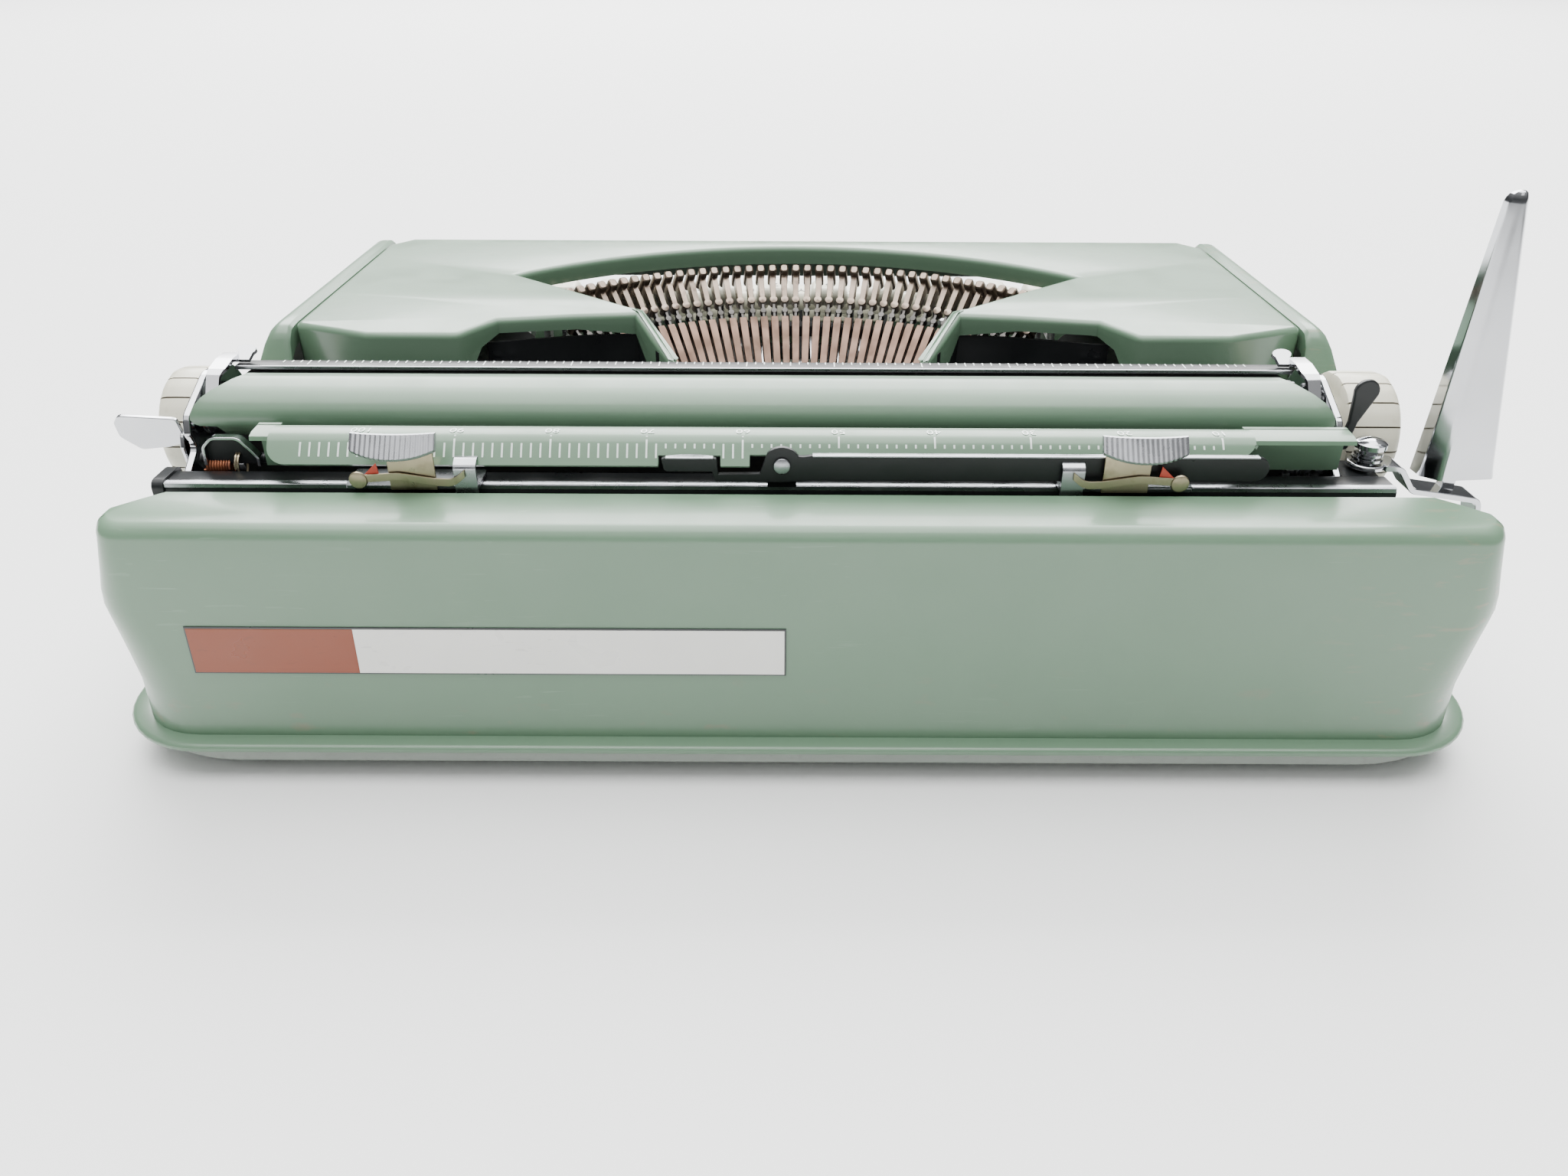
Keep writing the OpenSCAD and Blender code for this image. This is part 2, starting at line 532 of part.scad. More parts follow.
module platen() color(rubber) on_carriage() difference() {
  rod_x(-platen_hl, platen_hl, platen_y, platen_z, platen_r);
  rod_x(-platen_hl - 1, platen_hl + 1, platen_y, platen_z, platen_r - 3);
}
module platen_core() color(steel) on_carriage() {
  difference() {
    rod_x(-platen_hl, platen_hl, platen_y, platen_z, platen_r - 3);
    rod_x(-platen_hl + 4, platen_hl - 4, platen_y, platen_z, platen_r - 4.5);
  }
  rod_x(-146, 140, platen_y, platen_z, 3);
  difference() {
    rod_x(-129, -127, platen_y, platen_z, 12);
    for (a = [0:12:348]) translate([0, platen_y, platen_z]) rotate([a, 0, 0]) box(-130, -126, -0.6, 0.6, 11, 13);
  }
}
module knob(s) color(cream) on_carriage() difference() {
  union() {
    rod_x(s > 0 ? 134.4 : -150.4, s > 0 ? 142.4 : -138, platen_y, platen_z, knob_r);
    rod_x(s > 0 ? 142.3 : -151, s > 0 ? 143.2 : -150.3, platen_y, platen_z, knob_r - 2);
    if (s < 0) rod_x(-138.1, -134.4, platen_y, platen_z, 8);
  }
  rod_x(s > 0 ? 130 : -146, s > 0 ? 140 : -130, platen_y, platen_z, 3);
  for (a = [0:24:336]) translate([0, platen_y, platen_z]) rotate([a, 0, 0]) box(s > 0 ? 134 : -153, s > 0 ? 144 : -137.9, -0.25, 0.25, knob_r - 0.5, knob_r + 1);
}
module platen_knob_left() knob(-1);
module platen_knob_right() knob(1);

module feed_roller(y) color(rubber) on_carriage() {
  rod_x(-133, 133, y, 46.1, 1.5);
  for (x = [-80, -28, 28, 80]) rod_x(x - 13, x + 13, y, 46.1, 2.6);
}
module feed_roller_front() feed_roller(72);
module feed_roller_rear() feed_roller(86);

// A margin stop for the typist's right, mirrored for the left: a slider on the channel's top, a neck
// behind the paper support and a ribbed finger tab leaning over it
module margin_stop() color(chrome) {
  box(-17, 12.5, 106, 115, 61.3, 62.3);
  box(-8, 2.6, 114.6, 115.8, 61.3, 71.6);
  box(-17, -12, 114.6, 115.8, 60.5, 68.6);
  along_x(-9.3, 9.3) polygon([[119.2, 70], [115, 74.6], [114.2, 73.9], [115.2, 70.6], [118.2, 69.2]]);
  box(-15, 8, 115.7, 116.2, 63, 65);                      // leaf spring and its rivet
  rod_y(115.7, 116.6, 8.8, 64, 1.9);
}
module margin_stop_right() on_carriage() translate([79.4, 0, 0]) margin_stop();
module margin_stop_left() on_carriage() translate([-82.7, 0, 0]) mirror([1, 0, 0]) margin_stop();

// Long arm towards the typist's left, and a finger tail through the scale's notch
module paper_support_arm() color(black) on_carriage() difference() {
  along_y(112.4, 113.8)
    polygon(concat(arc([-108.5, support_at[1] - 0.6], 3, 270, 90, 8), [[-10, support_at[1] + 2.4]],
      arc(support_at, 4.2, 130, 30, 8), [[0.6, 64.7], [9.6, 64.7], [9.9, 68.4], [22.2, 68.4], [21.6, 65.2],
      [11, 65.2], [10.4, 62.9], [support_at[0], 62.7]]));
  rod_y(112, 115, support_at[0], support_at[1], 1.26);
}

module paper_bail() color(chrome) on_carriage() {
  box(-130, 130, 75.4, 80.1, 76.1, 77.1);
  for (s = [-1, 1]) {
    along_x(s > 0 ? 129.3 : -130.5, s > 0 ? 130.5 : -129.3)
      polygon(concat(arc(bail_pivot, 3, -60, 120, 8), [[80, 79.6], [75.4, 79.6], [75, 75.8], [79, 75.2]]));
    // thumb tab
    translate([s * 125.5, 77.3, 77]) rotate([32, 0, 0]) linear_extrude(0.9) polygon(concat([[-2, -2], [2, -2]], arc([0, 2], 3.8, -40, 220, 12)));
    rod_x(s > 0 ? 130.4 : -131.3, s > 0 ? 131.3 : -130.4, bail_pivot[0], bail_pivot[1], 1.6);
  }
}

// The return lever's arm: from the pivot screw out and down, then turned down at its end
module return_lever_arm() color(chrome) on_carriage() {
  difference() {
    union() {
      translate([screw_at[0], screw_at[1], 60.6]) cylinder(r = 4, h = 1.4);
      along_y(screw_at[1] - 3.5, screw_at[1] + 3.5) polygon([[-140.4, 60.6], [-140.4, 62], [-146, 62], [-151, 56], [-168, 53.6],
        [-169.8, 51.6], [-169.8, 47], [-168.4, 47], [-168.4, 51], [-167.4, 52.2], [-150.4, 54.6], [-145.4, 60.6]]);
      box(-163, -160, hinge_at[0] - 1.5, hinge_at[0] + 1.5, 53.5, hinge_at[1] + 2);   // lug for the fold
    }
    translate([screw_at[0], screw_at[1], 58]) cylinder(r = 2.06, h = 6);
  }
  rod_x(-168.6, -154.2, hinge_at[0], hinge_at[1], 1);
}

// Tapered hollow handle, open underneath and towards the typist
module return_lever_handle() color(chrome) on_carriage() difference() {
  along_y(94, 103) polygon(concat([[-153.2, 58.3], [-169.6, 57.3], [-169, 65]], arc([-158.2, 120.4], 2.4, 172, 20, 8)));
  along_y(90, 101.8) polygon([[-154.6, 55], [-168.2, 55], [-167.7, 65], [-159.2, 120], [-157.4, 120]]);
  // the handle gets thinner towards its tip
  translate([0, 94, 64]) rotate([-4, 0, 0]) box(-175, -150, -10, 0, 0, 70);
  rod_x(-175, -150, hinge_at[0], hinge_at[1], 1.06);
}

module line_space_selector() color(black) on_carriage() {
  along_y(selector_y - 0.6, selector_y + 0.6) polygon(concat([[-134, 64], [-136, 64], [-138, 70.5]],
    arc([-137.6, 78], 2.8, 200, -20, 8), [[-135.2, 70.5]]));
  rod_x(-136.2, -133.4, selector_y, 65, 1.4);
}

module paper_release_lever() on_carriage() {
  color(black) box(115.5, 127, 102, 103, 61.8, 68.4);
  color(chrome) box(115.5, 127, 102, 104.4, 68.3, 69.2);
  color(black) rod_x(114, 129, 101.6, 62.8, 1.2);
}

module carriage_release_lever() color(chrome) on_carriage() {
  along_x(133.6, 134.8) polygon([[93.6, 52], [97.6, 52], [99.6, 64], [98, 68], [94.4, 66]]);
  translate([0, 97.2, 67.6]) rotate([-12, 0, 0]) along_y(-0.6, 0.6)
    polygon(concat([[134.6, -3.4]], [[147, -5]], arc([147, 0], 2.4, -60, 60, 4), arc([136.4, 3.4], 1.2, 90, 180, 4)));
  rod_x(133.4, 136, 95.6, 54, 2.4);
}

// ---------------------------------------------------------------- assembly

on_floor() base_tray();
on_floor() rubber_feet();
on_floor() body_shell();
on_floor() label_plate();
on_floor() chassis_frame();
on_floor() carriage_track();
on_floor() typebar_segment();
on_floor() typebar_set();
on_floor() typebar_rest();
on_floor() type_guide();
on_floor() ribbon_guide_posts();
on_floor() card_holder();
on_floor() ribbon();
on_floor() key_pivot_rod();
on_floor() bell();
on_floor() ribbon_cover();
on_floor() ribbon_spool_left();
on_floor() ribbon_spool_right();
on_floor() ribbon_vibrator();
on_floor() typebar_center();
on_floor() center_key();
on_floor() keys_number_row();
on_floor() keys_upper_row();
on_floor() keys_home_row();
on_floor() keys_lower_row();
on_floor() levers_number_row();
on_floor() levers_upper_row();
on_floor() levers_home_row();
on_floor() levers_lower_row();
on_floor() space_bar();
on_floor() shift_keys();
on_floor() shift_lock_key();
on_floor() backspace_key();
on_floor() margin_release_key();
on_floor() ribbon_selector();
on_floor() mainspring_drum();
on_floor() escapement_wheel();
on_floor() carriage_channel();
on_floor() carriage_end_left();
on_floor() carriage_end_right();
on_floor() escapement_rack();
on_floor() paper_table();
on_floor() margin_scale();
on_floor() lever_pivot_screw();
on_floor() platen();
on_floor() platen_core();
on_floor() platen_knob_left();
on_floor() platen_knob_right();
on_floor() feed_roller_front();
on_floor() feed_roller_rear();
on_floor() margin_stop_left();
on_floor() margin_stop_right();
on_floor() paper_support_arm();
on_floor() paper_bail();
on_floor() return_lever_arm();
on_floor() return_lever_handle();
on_floor() line_space_selector();
on_floor() paper_release_lever();
on_floor() carriage_release_lever();
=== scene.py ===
"""Looks of a flat portable typewriter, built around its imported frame.

Lengths below are millimetres in the machine's own frame: X = 0 is the body's middle and points to the
typist's right, the typist sits at -Y, the floor is Z = 0. build() turns them into the frame's metres.
"""
import json
import math

import bmesh
import bpy
from mathutils import Matrix, Vector
from mathutils.geometry import tessellate_polygon


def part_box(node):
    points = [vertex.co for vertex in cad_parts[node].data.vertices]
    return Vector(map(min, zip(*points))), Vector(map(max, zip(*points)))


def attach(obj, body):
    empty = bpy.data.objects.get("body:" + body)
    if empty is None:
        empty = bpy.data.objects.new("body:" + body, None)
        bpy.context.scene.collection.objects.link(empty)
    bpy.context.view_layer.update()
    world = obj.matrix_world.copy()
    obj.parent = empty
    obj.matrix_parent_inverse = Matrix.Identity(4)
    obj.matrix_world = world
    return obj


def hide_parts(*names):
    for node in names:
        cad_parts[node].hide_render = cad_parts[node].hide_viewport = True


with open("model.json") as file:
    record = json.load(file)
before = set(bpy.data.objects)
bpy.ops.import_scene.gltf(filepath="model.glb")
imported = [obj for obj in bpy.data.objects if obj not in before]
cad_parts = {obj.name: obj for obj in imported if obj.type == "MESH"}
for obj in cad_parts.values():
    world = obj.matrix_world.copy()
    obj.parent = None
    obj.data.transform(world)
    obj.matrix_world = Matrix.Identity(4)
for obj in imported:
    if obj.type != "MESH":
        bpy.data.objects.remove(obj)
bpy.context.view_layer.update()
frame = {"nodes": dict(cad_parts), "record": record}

MM = 0.001
FLANGE_BACK = 141


def middle(node):
    low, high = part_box(node)
    return (low + high) / 2


tray_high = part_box("base_tray")[1]
ORIGIN = Vector((middle("base_tray").x, tray_high.y - FLANGE_BACK * MM, 0))
PARK_X = (middle("platen").x - ORIGIN.x) / MM


def mm_box(node, carriage=False):
    """A CAD node's box in machine millimetres, from the carriage's own middle if asked."""
    back = Vector((PARK_X if carriage else 0, 0, 0))
    return [(corner - ORIGIN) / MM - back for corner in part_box(node)]


# ------------------------------------------------------------------------------------ materials

def nodes_of(name, colour, rough, metallic=0.0):
    mat = bpy.data.materials.new(name)
    mat.use_nodes = True
    shader = mat.node_tree.nodes["Principled BSDF"]
    shader.inputs["Base Color"].default_value = (*colour, 1)
    shader.inputs["Roughness"].default_value = rough
    shader.inputs["Metallic"].default_value = metallic
    return mat, mat.node_tree, shader


class Look:
    """Builds one procedural material from layers: mottle, grain, scratches, edge wear."""

    def __init__(self, name, colour, rough, metallic=0.0, coat=0.0, spec=None):
        self.mat, self.tree, self.shader = nodes_of(name, colour, rough, metallic)
        self.coord = self.add("ShaderNodeTexCoord").outputs["Object"]
        self.colour = colour
        self.rough = rough
        self.colour_out = None
        self.rough_out = None
        self.normal = None
        if coat:
            self.shader.inputs["Coat Weight"].default_value = coat
            self.shader.inputs["Coat Roughness"].default_value = 0.12
        if spec is not None:
            self.shader.inputs["Specular IOR Level"].default_value = spec

    def add(self, kind, **inputs):
        node = self.tree.nodes.new(kind)
        for key, value in inputs.items():
            target = node.inputs[int(key[1:])] if key[0] == "i" and key[1:].isdigit() else node.inputs[key]
            if isinstance(value, bpy.types.NodeSocket):
                self.tree.links.new(value, target)
            else:
                target.default_value = value
        return node

    def noise(self, size, detail=3.0, stretch=(1, 1, 1), distortion=0.0):
        """Noise whose blotches are about size millimetres across."""
        scaled = self.add("ShaderNodeMapping", Vector=self.coord, Scale=stretch)
        out = self.add("ShaderNodeTexNoise", Vector=scaled.outputs[0], Scale=1 / (size * MM), Detail=detail,
                       Distortion=distortion)
        return out.outputs["Fac"]

    def ramp(self, value, low, high, a=0.0, b=1.0):
        node = self.add("ShaderNodeMapRange", Value=value)
        node.inputs["From Min"].default_value = low
        node.inputs["From Max"].default_value = high
        node.inputs["To Min"].default_value = a
        node.inputs["To Max"].default_value = b
        return node.outputs[0]

    def times(self, a, b):
        node = self.add("ShaderNodeMath", i0=a, i1=b)
        node.operation = "MULTIPLY"
        return node.outputs[0]

    def tint(self, mask, colour):
        """Lays a colour over what is there, where the mask is 1."""
        base = self.colour_out if self.colour_out is not None else (*self.colour, 1)
        node = self.tree.nodes.new("ShaderNodeMix")
        node.data_type = "RGBA"
        self.tree.links.new(mask, node.inputs[0])
        for socket, value in ((node.inputs[6], base), (node.inputs[7], (*colour, 1))):
            if isinstance(value, bpy.types.NodeSocket):
                self.tree.links.new(value, socket)
            else:
                socket.default_value = value
        self.colour_out = node.outputs[2]
        return self

    def mottle(self, size, dark, amount=1.0):
        """Slow variation of the colour towards a darker or lighter one."""
        return self.tint(self.ramp(self.noise(size, 4), 0.3, 0.75, 0, amount), dark)

    def gloss(self, size, low, high, stretch=(1, 1, 1)):
        self.rough_out = self.ramp(self.noise(size, 4, stretch), 0.3, 0.7, low, high)
        return self

    def bump(self, size, strength, depth=0.05, stretch=(1, 1, 1), detail=2.0):
        node = self.add("ShaderNodeBump", Strength=strength, Distance=depth * MM,
                        Height=self.noise(size, detail, stretch))
        if self.normal is not None:
            self.tree.links.new(self.normal, node.inputs["Normal"])
        self.normal = node.outputs[0]
        return self

    def specks(self, spacing, size, colour, share=0.5):
        """Small scattered dots."""
        cells = self.add("ShaderNodeTexVoronoi", Vector=self.coord, Scale=1 / (spacing * MM))
        dot = self.ramp(cells.outputs["Distance"], size / spacing * 0.5, size / spacing * 0.35)
        pick = self.ramp(self.noise(spacing * 3, 1), 1 - share * 0.5, 1 - share * 0.5 + 0.02)
        return self.tint(self.times(dot, pick), colour)

    def scratches(self, size, colour, stretch, amount=0.5):
        """Thin streaks, long along the axis with the small stretch."""
        fine = self.ramp(self.noise(size, 2, stretch, 0.6), 0.66, 0.69)
        where = self.ramp(self.noise(40, 3), 0.5, 0.7, 0, amount)
        return self.tint(self.times(fine, where), colour)

    def wear(self, colour, amount=0.6, start=0.56):
        """Lighter paint or bare metal along the edges."""
        edge = self.ramp(self.add("ShaderNodeNewGeometry").outputs["Pointiness"], start, start + 0.06)
        broken = self.ramp(self.noise(3, 4), 0.35, 0.6, 0, amount)
        return self.tint(self.times(edge, broken), colour)

    def done(self):
        if self.colour_out is not None:
            self.tree.links.new(self.colour_out, self.shader.inputs["Base Color"])
        if self.rough_out is not None:
            self.tree.links.new(self.rough_out, self.shader.inputs["Roughness"])
        if self.normal is not None:
            self.tree.links.new(self.normal, self.shader.inputs["Normal"])
        return self.mat


GREEN = (0.120, 0.207, 0.134)
GREEN_DARK = (0.108, 0.190, 0.121)


def enamel(name, colour=GREEN, dark=GREEN_DARK):
    look = Look(name, colour, 0.36, coat=0.25)
    look.mottle(55, dark, 0.5).mottle(9, (colour[0] * 1.05, colour[1] * 1.04, colour[2] * 1.02), 0.4)
    look.specks(14, 0.7, (0.08, 0.09, 0.08), 0.7)
    look.wear((0.24, 0.34, 0.25), 0.35)
    look.gloss(12, 0.30, 0.42).bump(0.9, 0.12, 0.02).bump(7, 0.10, 0.08)
    return look


def worn_enamel(name):
    """The shell's paint: hairline scratches and a few brown rubs near one rear corner and the floor."""
    look = enamel(name)
    look.scratches(1.6, (0.24, 0.33, 0.25), (0.12, 1, 1.6), 0.35)
    place_of = look.add("ShaderNodeSeparateXYZ", Vector=look.coord)
    low = look.ramp(place_of.outputs["Z"], 30 * MM, 12 * MM)
    rubs = look.ramp(look.noise(5, 5, (0.5, 1, 1)), 0.62, 0.72, 0, 0.45)
    look.tint(look.times(low, rubs), (0.23, 0.17, 0.12))
    side = look.ramp(place_of.outputs["X"], -105 * MM, -150 * MM)
    rust = look.ramp(look.noise(2.2, 5, (0.3, 1, 1.4)), 0.60, 0.68, 0, 0.40)
    look.tint(look.times(side, rust), (0.30, 0.22, 0.15))
    return look.done()


def plated(name, colour, rough, brush=0.0, tarnish=None):
    look = Look(name, colour, rough, metallic=1.0)
    look.mottle(14, tuple(c * 0.86 for c in colour), 0.6)
    if tarnish:
        look.tint(look.ramp(look.noise(4, 5), 0.56, 0.72, 0, 0.6), tarnish)
    look.gloss(6, rough * 0.7, rough * 1.5)
    if brush:
        look.bump(0.25, brush, 0.02, (0.06, 1, 1), 3)
    look.bump(5, 0.04, 0.04)
    return look.done()


def moulded(name, colour, rough, dirt=None):
    look = Look(name, colour, rough)
    look.mottle(16, tuple(c * 0.93 for c in colour), 0.7)
    if dirt:
        look.tint(look.ramp(look.noise(2.5, 5), 0.58, 0.74, 0, 0.25), dirt)
    look.specks(6, 0.35, tuple(c * 0.6 for c in colour), 0.5)
    return look.gloss(8, rough * 0.8, rough * 1.25).bump(1.1, 0.10, 0.02).done()


def lacquer(name, colour=(0.010, 0.011, 0.012)):
    look = Look(name, colour, 0.34, spec=0.32)
    look.mottle(20, (0.016, 0.018, 0.019), 0.7).specks(4, 0.2, (0.16, 0.16, 0.15), 0.3)
    look.wear((0.20, 0.21, 0.22), 0.5, 0.60)
    return look.gloss(10, 0.26, 0.44).bump(0.7, 0.10, 0.02).done()


def rubbery(name, colour):
    look = Look(name, colour, 0.62)
    look.mottle(12, tuple(c * 1.8 for c in colour), 0.7)
    return look.gloss(5, 0.5, 0.75).bump(0.35, 0.25, 0.03).bump(3, 0.1, 0.05).done()


def woven(name, colour):
    look = Look(name, colour, 0.85)
    look.shader.inputs["Sheen Weight"].default_value = 0.3
    for stretch in ((1, 1, 0.15), (0.15, 0.15, 1)):
        look.bump(0.3, 0.6, 0.06, stretch, 1)
    return look.mottle(4, tuple(c * 2.2 for c in colour), 0.6).done()


def printed(name, colour):
    look = Look(name, colour, 0.34, coat=0.2)
    look.mottle(10, tuple(c * 0.94 for c in colour), 0.6)
    look.scratches(0.8, tuple(c * 0.55 for c in colour), (0.2, 1, 1), 0.4)
    look.specks(5, 0.3, tuple(c * 0.3 for c in colour), 0.5)
    return look.gloss(9, 0.26, 0.42).bump(1.2, 0.08, 0.02).done()


CHROME = plated("chrome plate", (0.52, 0.53, 0.55), 0.10)
SATIN = plated("chrome plate, brushed", (0.40, 0.41, 0.43), 0.26, 0.25)
STEEL = plated("plated steel", (0.42, 0.42, 0.43), 0.30, 0.3, (0.26, 0.23, 0.20))
DARK_STEEL = plated("oiled dark steel", (0.10, 0.095, 0.09), 0.36, 0.2, (0.06, 0.05, 0.04))
TYPE_STEEL = plated("type steel", (0.17, 0.112, 0.085), 0.42, 0.2, (0.10, 0.065, 0.05))
SLUG_STEEL = plated("type slug steel", (0.28, 0.225, 0.18), 0.32, 0.1, (0.10, 0.07, 0.06))
BRASS = plated("dull brass", (0.44, 0.38, 0.26), 0.34, 0.2, (0.24, 0.20, 0.13))
COPPER = plated("copper wire", (0.34, 0.13, 0.07), 0.42, 0.0, (0.12, 0.05, 0.04))
PAINT = enamel("green enamel").done()
SHELL_PAINT = worn_enamel("green enamel, worn")
UNDERSIDE = moulded("grey green primer", (0.24, 0.27, 0.24), 0.55, (0.10, 0.09, 0.08))
CREAM = moulded("cream plastic", (0.70, 0.68, 0.55), 0.34, (0.42, 0.38, 0.26))
# dark brown for the knobs' grooves, much darker than the cream of the ribs
GROOVE = moulded("dark brown in a groove", (0.16, 0.14, 0.10), 0.7)
BLACK = lacquer("black lacquer")
PLASTIC = moulded("black plastic", (0.018, 0.018, 0.019), 0.42)
RUBBER = rubbery("platen rubber", (0.018, 0.018, 0.019))
FOOT = rubbery("foot rubber", (0.045, 0.045, 0.045))
WHITE = printed("white enamel plate", (0.80, 0.80, 0.76))
RUST = printed("rust brown print", (0.215, 0.036, 0.004))
INK = printed("dark print", (0.03, 0.035, 0.035))
MARK = printed("white print", (0.74, 0.80, 0.76))
RED = moulded("red lacquer", (0.60, 0.07, 0.04), 0.35)
CLOTH = woven("inked ribbon", (0.012, 0.012, 0.016))
FELT = woven("black felt", (0.025, 0.025, 0.025))

# ------------------------------------------------------------------------------------ mesh tools

def arc(centre, r, start, end, n=8):
    return [(centre[0] + r * math.cos(math.radians(start + (end - start) * i / n)),
             centre[1] + r * math.sin(math.radians(start + (end - start) * i / n))) for i in range(n + 1)]


def fillet(points, r, n=4, closed=False):
    """Rounds a polyline's corners. r is one radius, or one for each point."""
    out = []
    count = len(points)
    for i, p in enumerate(points):
        radius = r[i] if isinstance(r, (list, tuple)) else r
        if radius <= 0 or (not closed and i in (0, count - 1)):
            out.append(tuple(p))
            continue
        p = Vector(p)
        a, b = Vector(points[i - 1]) - p, Vector(points[(i + 1) % count]) - p
        angle = a.angle(b)
        cut = min(radius / math.tan(angle / 2), a.length * 0.48, b.length * 0.48)
        start, end = p + a.normalized() * cut, p + b.normalized() * cut
        for k in range(n + 1):
            t = k / n
            out.append(tuple(start * (1 - t) ** 2 + p * (2 * t * (1 - t)) + end * t ** 2))
    return out


def offset(path, d, closed=False):
    """The path moved sideways by d, to the left of its direction."""
    out = []
    count = len(path)
    for i, p in enumerate(path):
        before = Vector(path[i - 1]) if closed or i else None
        after = Vector(path[(i + 1) % count]) if closed or i < count - 1 else None
        here = Vector(p)
        sides = [(q - r).normalized() for q, r in ((here, before), (after, here))
                 if q is not None and r is not None]
        normals = [Vector((-s.y, s.x)) for s in sides]
        n = sum(normals, Vector((0, 0)))
        n.normalize()
        n /= max(0.35, n.dot(normals[0]))
        out.append(tuple(here + n * d))
    return out


def thick(path, t):
    """Outline of a bent strip of thickness t that follows an open path."""
    return offset(path, t / 2) + offset(path, -t / 2)[::-1]


def rounded(x0, x1, y0, y1, r, n=6):
    return (arc((x1 - r, y1 - r), r, 0, 90, n) + arc((x0 + r, y1 - r), r, 90, 180, n)
            + arc((x0 + r, y0 + r), r, 180, 270, n) + arc((x1 - r, y0 + r), r, 270, 360, n))


ALONG_X = lambda u, v, w: (w, u, v)
ALONG_Y = lambda u, v, w: (u, w, v)
ALONG_Z = lambda u, v, w: (u, v, w)


class Form:
    """Vertices and faces in millimetres, with a material index for each face."""

    def __init__(self):
        self.verts, self.faces, self.mats = [], [], []

    def face(self, loop, mat=0):
        self.faces.append(tuple(loop))
        self.mats.append(mat)

    def ring(self, points):
        start = len(self.verts)
        self.verts += [tuple(p) for p in points]
        return list(range(start, len(self.verts)))

    def skin(self, a, b, loop=True, mat=0):
        for i in range(len(a) if loop else len(a) - 1):
            j = (i + 1) % len(a)
            self.face((a[i], a[j], b[j], b[i]), mat)

    def loft(self, rings, loop=True, caps=(True, True), mat=0):
        made = [self.ring(r) for r in rings]
        for k in range(len(made) - 1):
            self.skin(made[k], made[k + 1], loop, mat[k] if isinstance(mat, (list, tuple)) else mat)
        first, last = (mat[0], mat[-1]) if isinstance(mat, (list, tuple)) else (mat, mat)
        if caps[0]:
            self.face(made[0][::-1], first)
        if caps[1]:
            self.face(made[-1], last)
        return made

    def prism(self, outline, a, b, put=ALONG_Z, mat=0):
        """An outline drawn out from a to b."""
        self.loft([[put(u, v, w) for u, v in outline] for w in (a, b)], mat=mat)

    def box(self, x0, x1, y0, y1, z0, z1, mat=0):
        self.prism([(x0, y0), (x1, y0), (x1, y1), (x0, y1)], z0, z1, mat=mat)

    def turn(self, profile, centre, put=ALONG_Z, n=32, mat=0, hollow=False):
        """(radius, height) pairs turned round a centre. A hollow profile closes on itself."""
        u, v = centre
        turns = [math.tau * i / n for i in range(n)]
        rings = [[put(u + r * math.cos(a), v + r * math.sin(a), w) for a in turns] for r, w in profile]
        made = self.loft(rings, caps=(not hollow, not hollow), mat=mat)
        if hollow:
            self.skin(made[-1], made[0])

    def tube(self, path, r, n=10, mat=0):
        """A round wire along 3-D points."""
        points = [Vector(p) for p in path]
        side = None
        rings = []
        for i, p in enumerate(points):
            along = (points[min(i + 1, len(points) - 1)] - points[max(i - 1, 0)]).normalized()
            if side is None:
                side = along.orthogonal().normalized()
            side = (side - along * side.dot(along)).normalized()
            up = along.cross(side)
            rings.append([p + side * (r * math.cos(math.tau * k / n)) + up * (r * math.sin(math.tau * k / n))
                          for k in range(n)])
        self.loft(rings, mat=mat)

    def add(self, other, matrix=Matrix.Identity(4)):
        base = len(self.verts)
        self.verts += [tuple(matrix @ Vector(v)) for v in other.verts]
        self.faces += [tuple(i + base for i in f) for f in other.faces]
        self.mats += other.mats


def tidy(mesh, sharp):
    """Consistent outward normals, and smooth shading apart from sharp edges."""
    bm = bmesh.new()
    bm.from_mesh(mesh)
    bmesh.ops.recalc_face_normals(bm, faces=bm.faces)
    bm.to_mesh(mesh)
    bm.free()
    mesh.shade_smooth()
    mesh.set_sharp_from_angle(angle=math.radians(sharp))


def bevel(piece, width, segments=2, angle=32):
    if not width:
        return
    mod = piece.modifiers.new("soft edges", "BEVEL")
    mod.width = width * MM
    mod.segments = segments
    mod.limit_method = "ANGLE"
    mod.angle_limit = math.radians(angle)
    mod.harden_normals = True
    mod.use_clamp_overlap = True


def build(name, form, body, mats, replaces=(), soft=0.2, segments=2, sharp=35, carriage=False):
    """Makes one piece from a Form, in place, riding on its body."""
    shift = ORIGIN + Vector((PARK_X * MM if carriage else 0, 0, 0))
    mesh = bpy.data.meshes.new(name)
    mesh.from_pydata([tuple(Vector(v) * MM + shift) for v in form.verts], [], form.faces)
    for mat in mats if isinstance(mats, (list, tuple)) else [mats]:
        mesh.materials.append(mat)
    mesh.polygons.foreach_set("material_index", form.mats)
    tidy(mesh, sharp)
    piece = bpy.data.objects.new(name, mesh)
    bpy.context.scene.collection.objects.link(piece)
    bevel(piece, soft, segments)
    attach(piece, body)
    if replaces:
        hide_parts(*((replaces,) if isinstance(replaces, str) else replaces))
    return piece


BODIES = frame["record"]["behaviour"]["bodies"]
BODY_OF = {node: body for body, members in BODIES.items() for node in members}


def detail(node, form, mats, slot, soft=0.2, segments=2, sharp=35, carriage=False):
    """The detailed piece that stands for one CAD node, on that node's body."""
    return build(node + "_detailed", form, BODY_OF[node], mats, node, soft, segments, sharp, carriage)


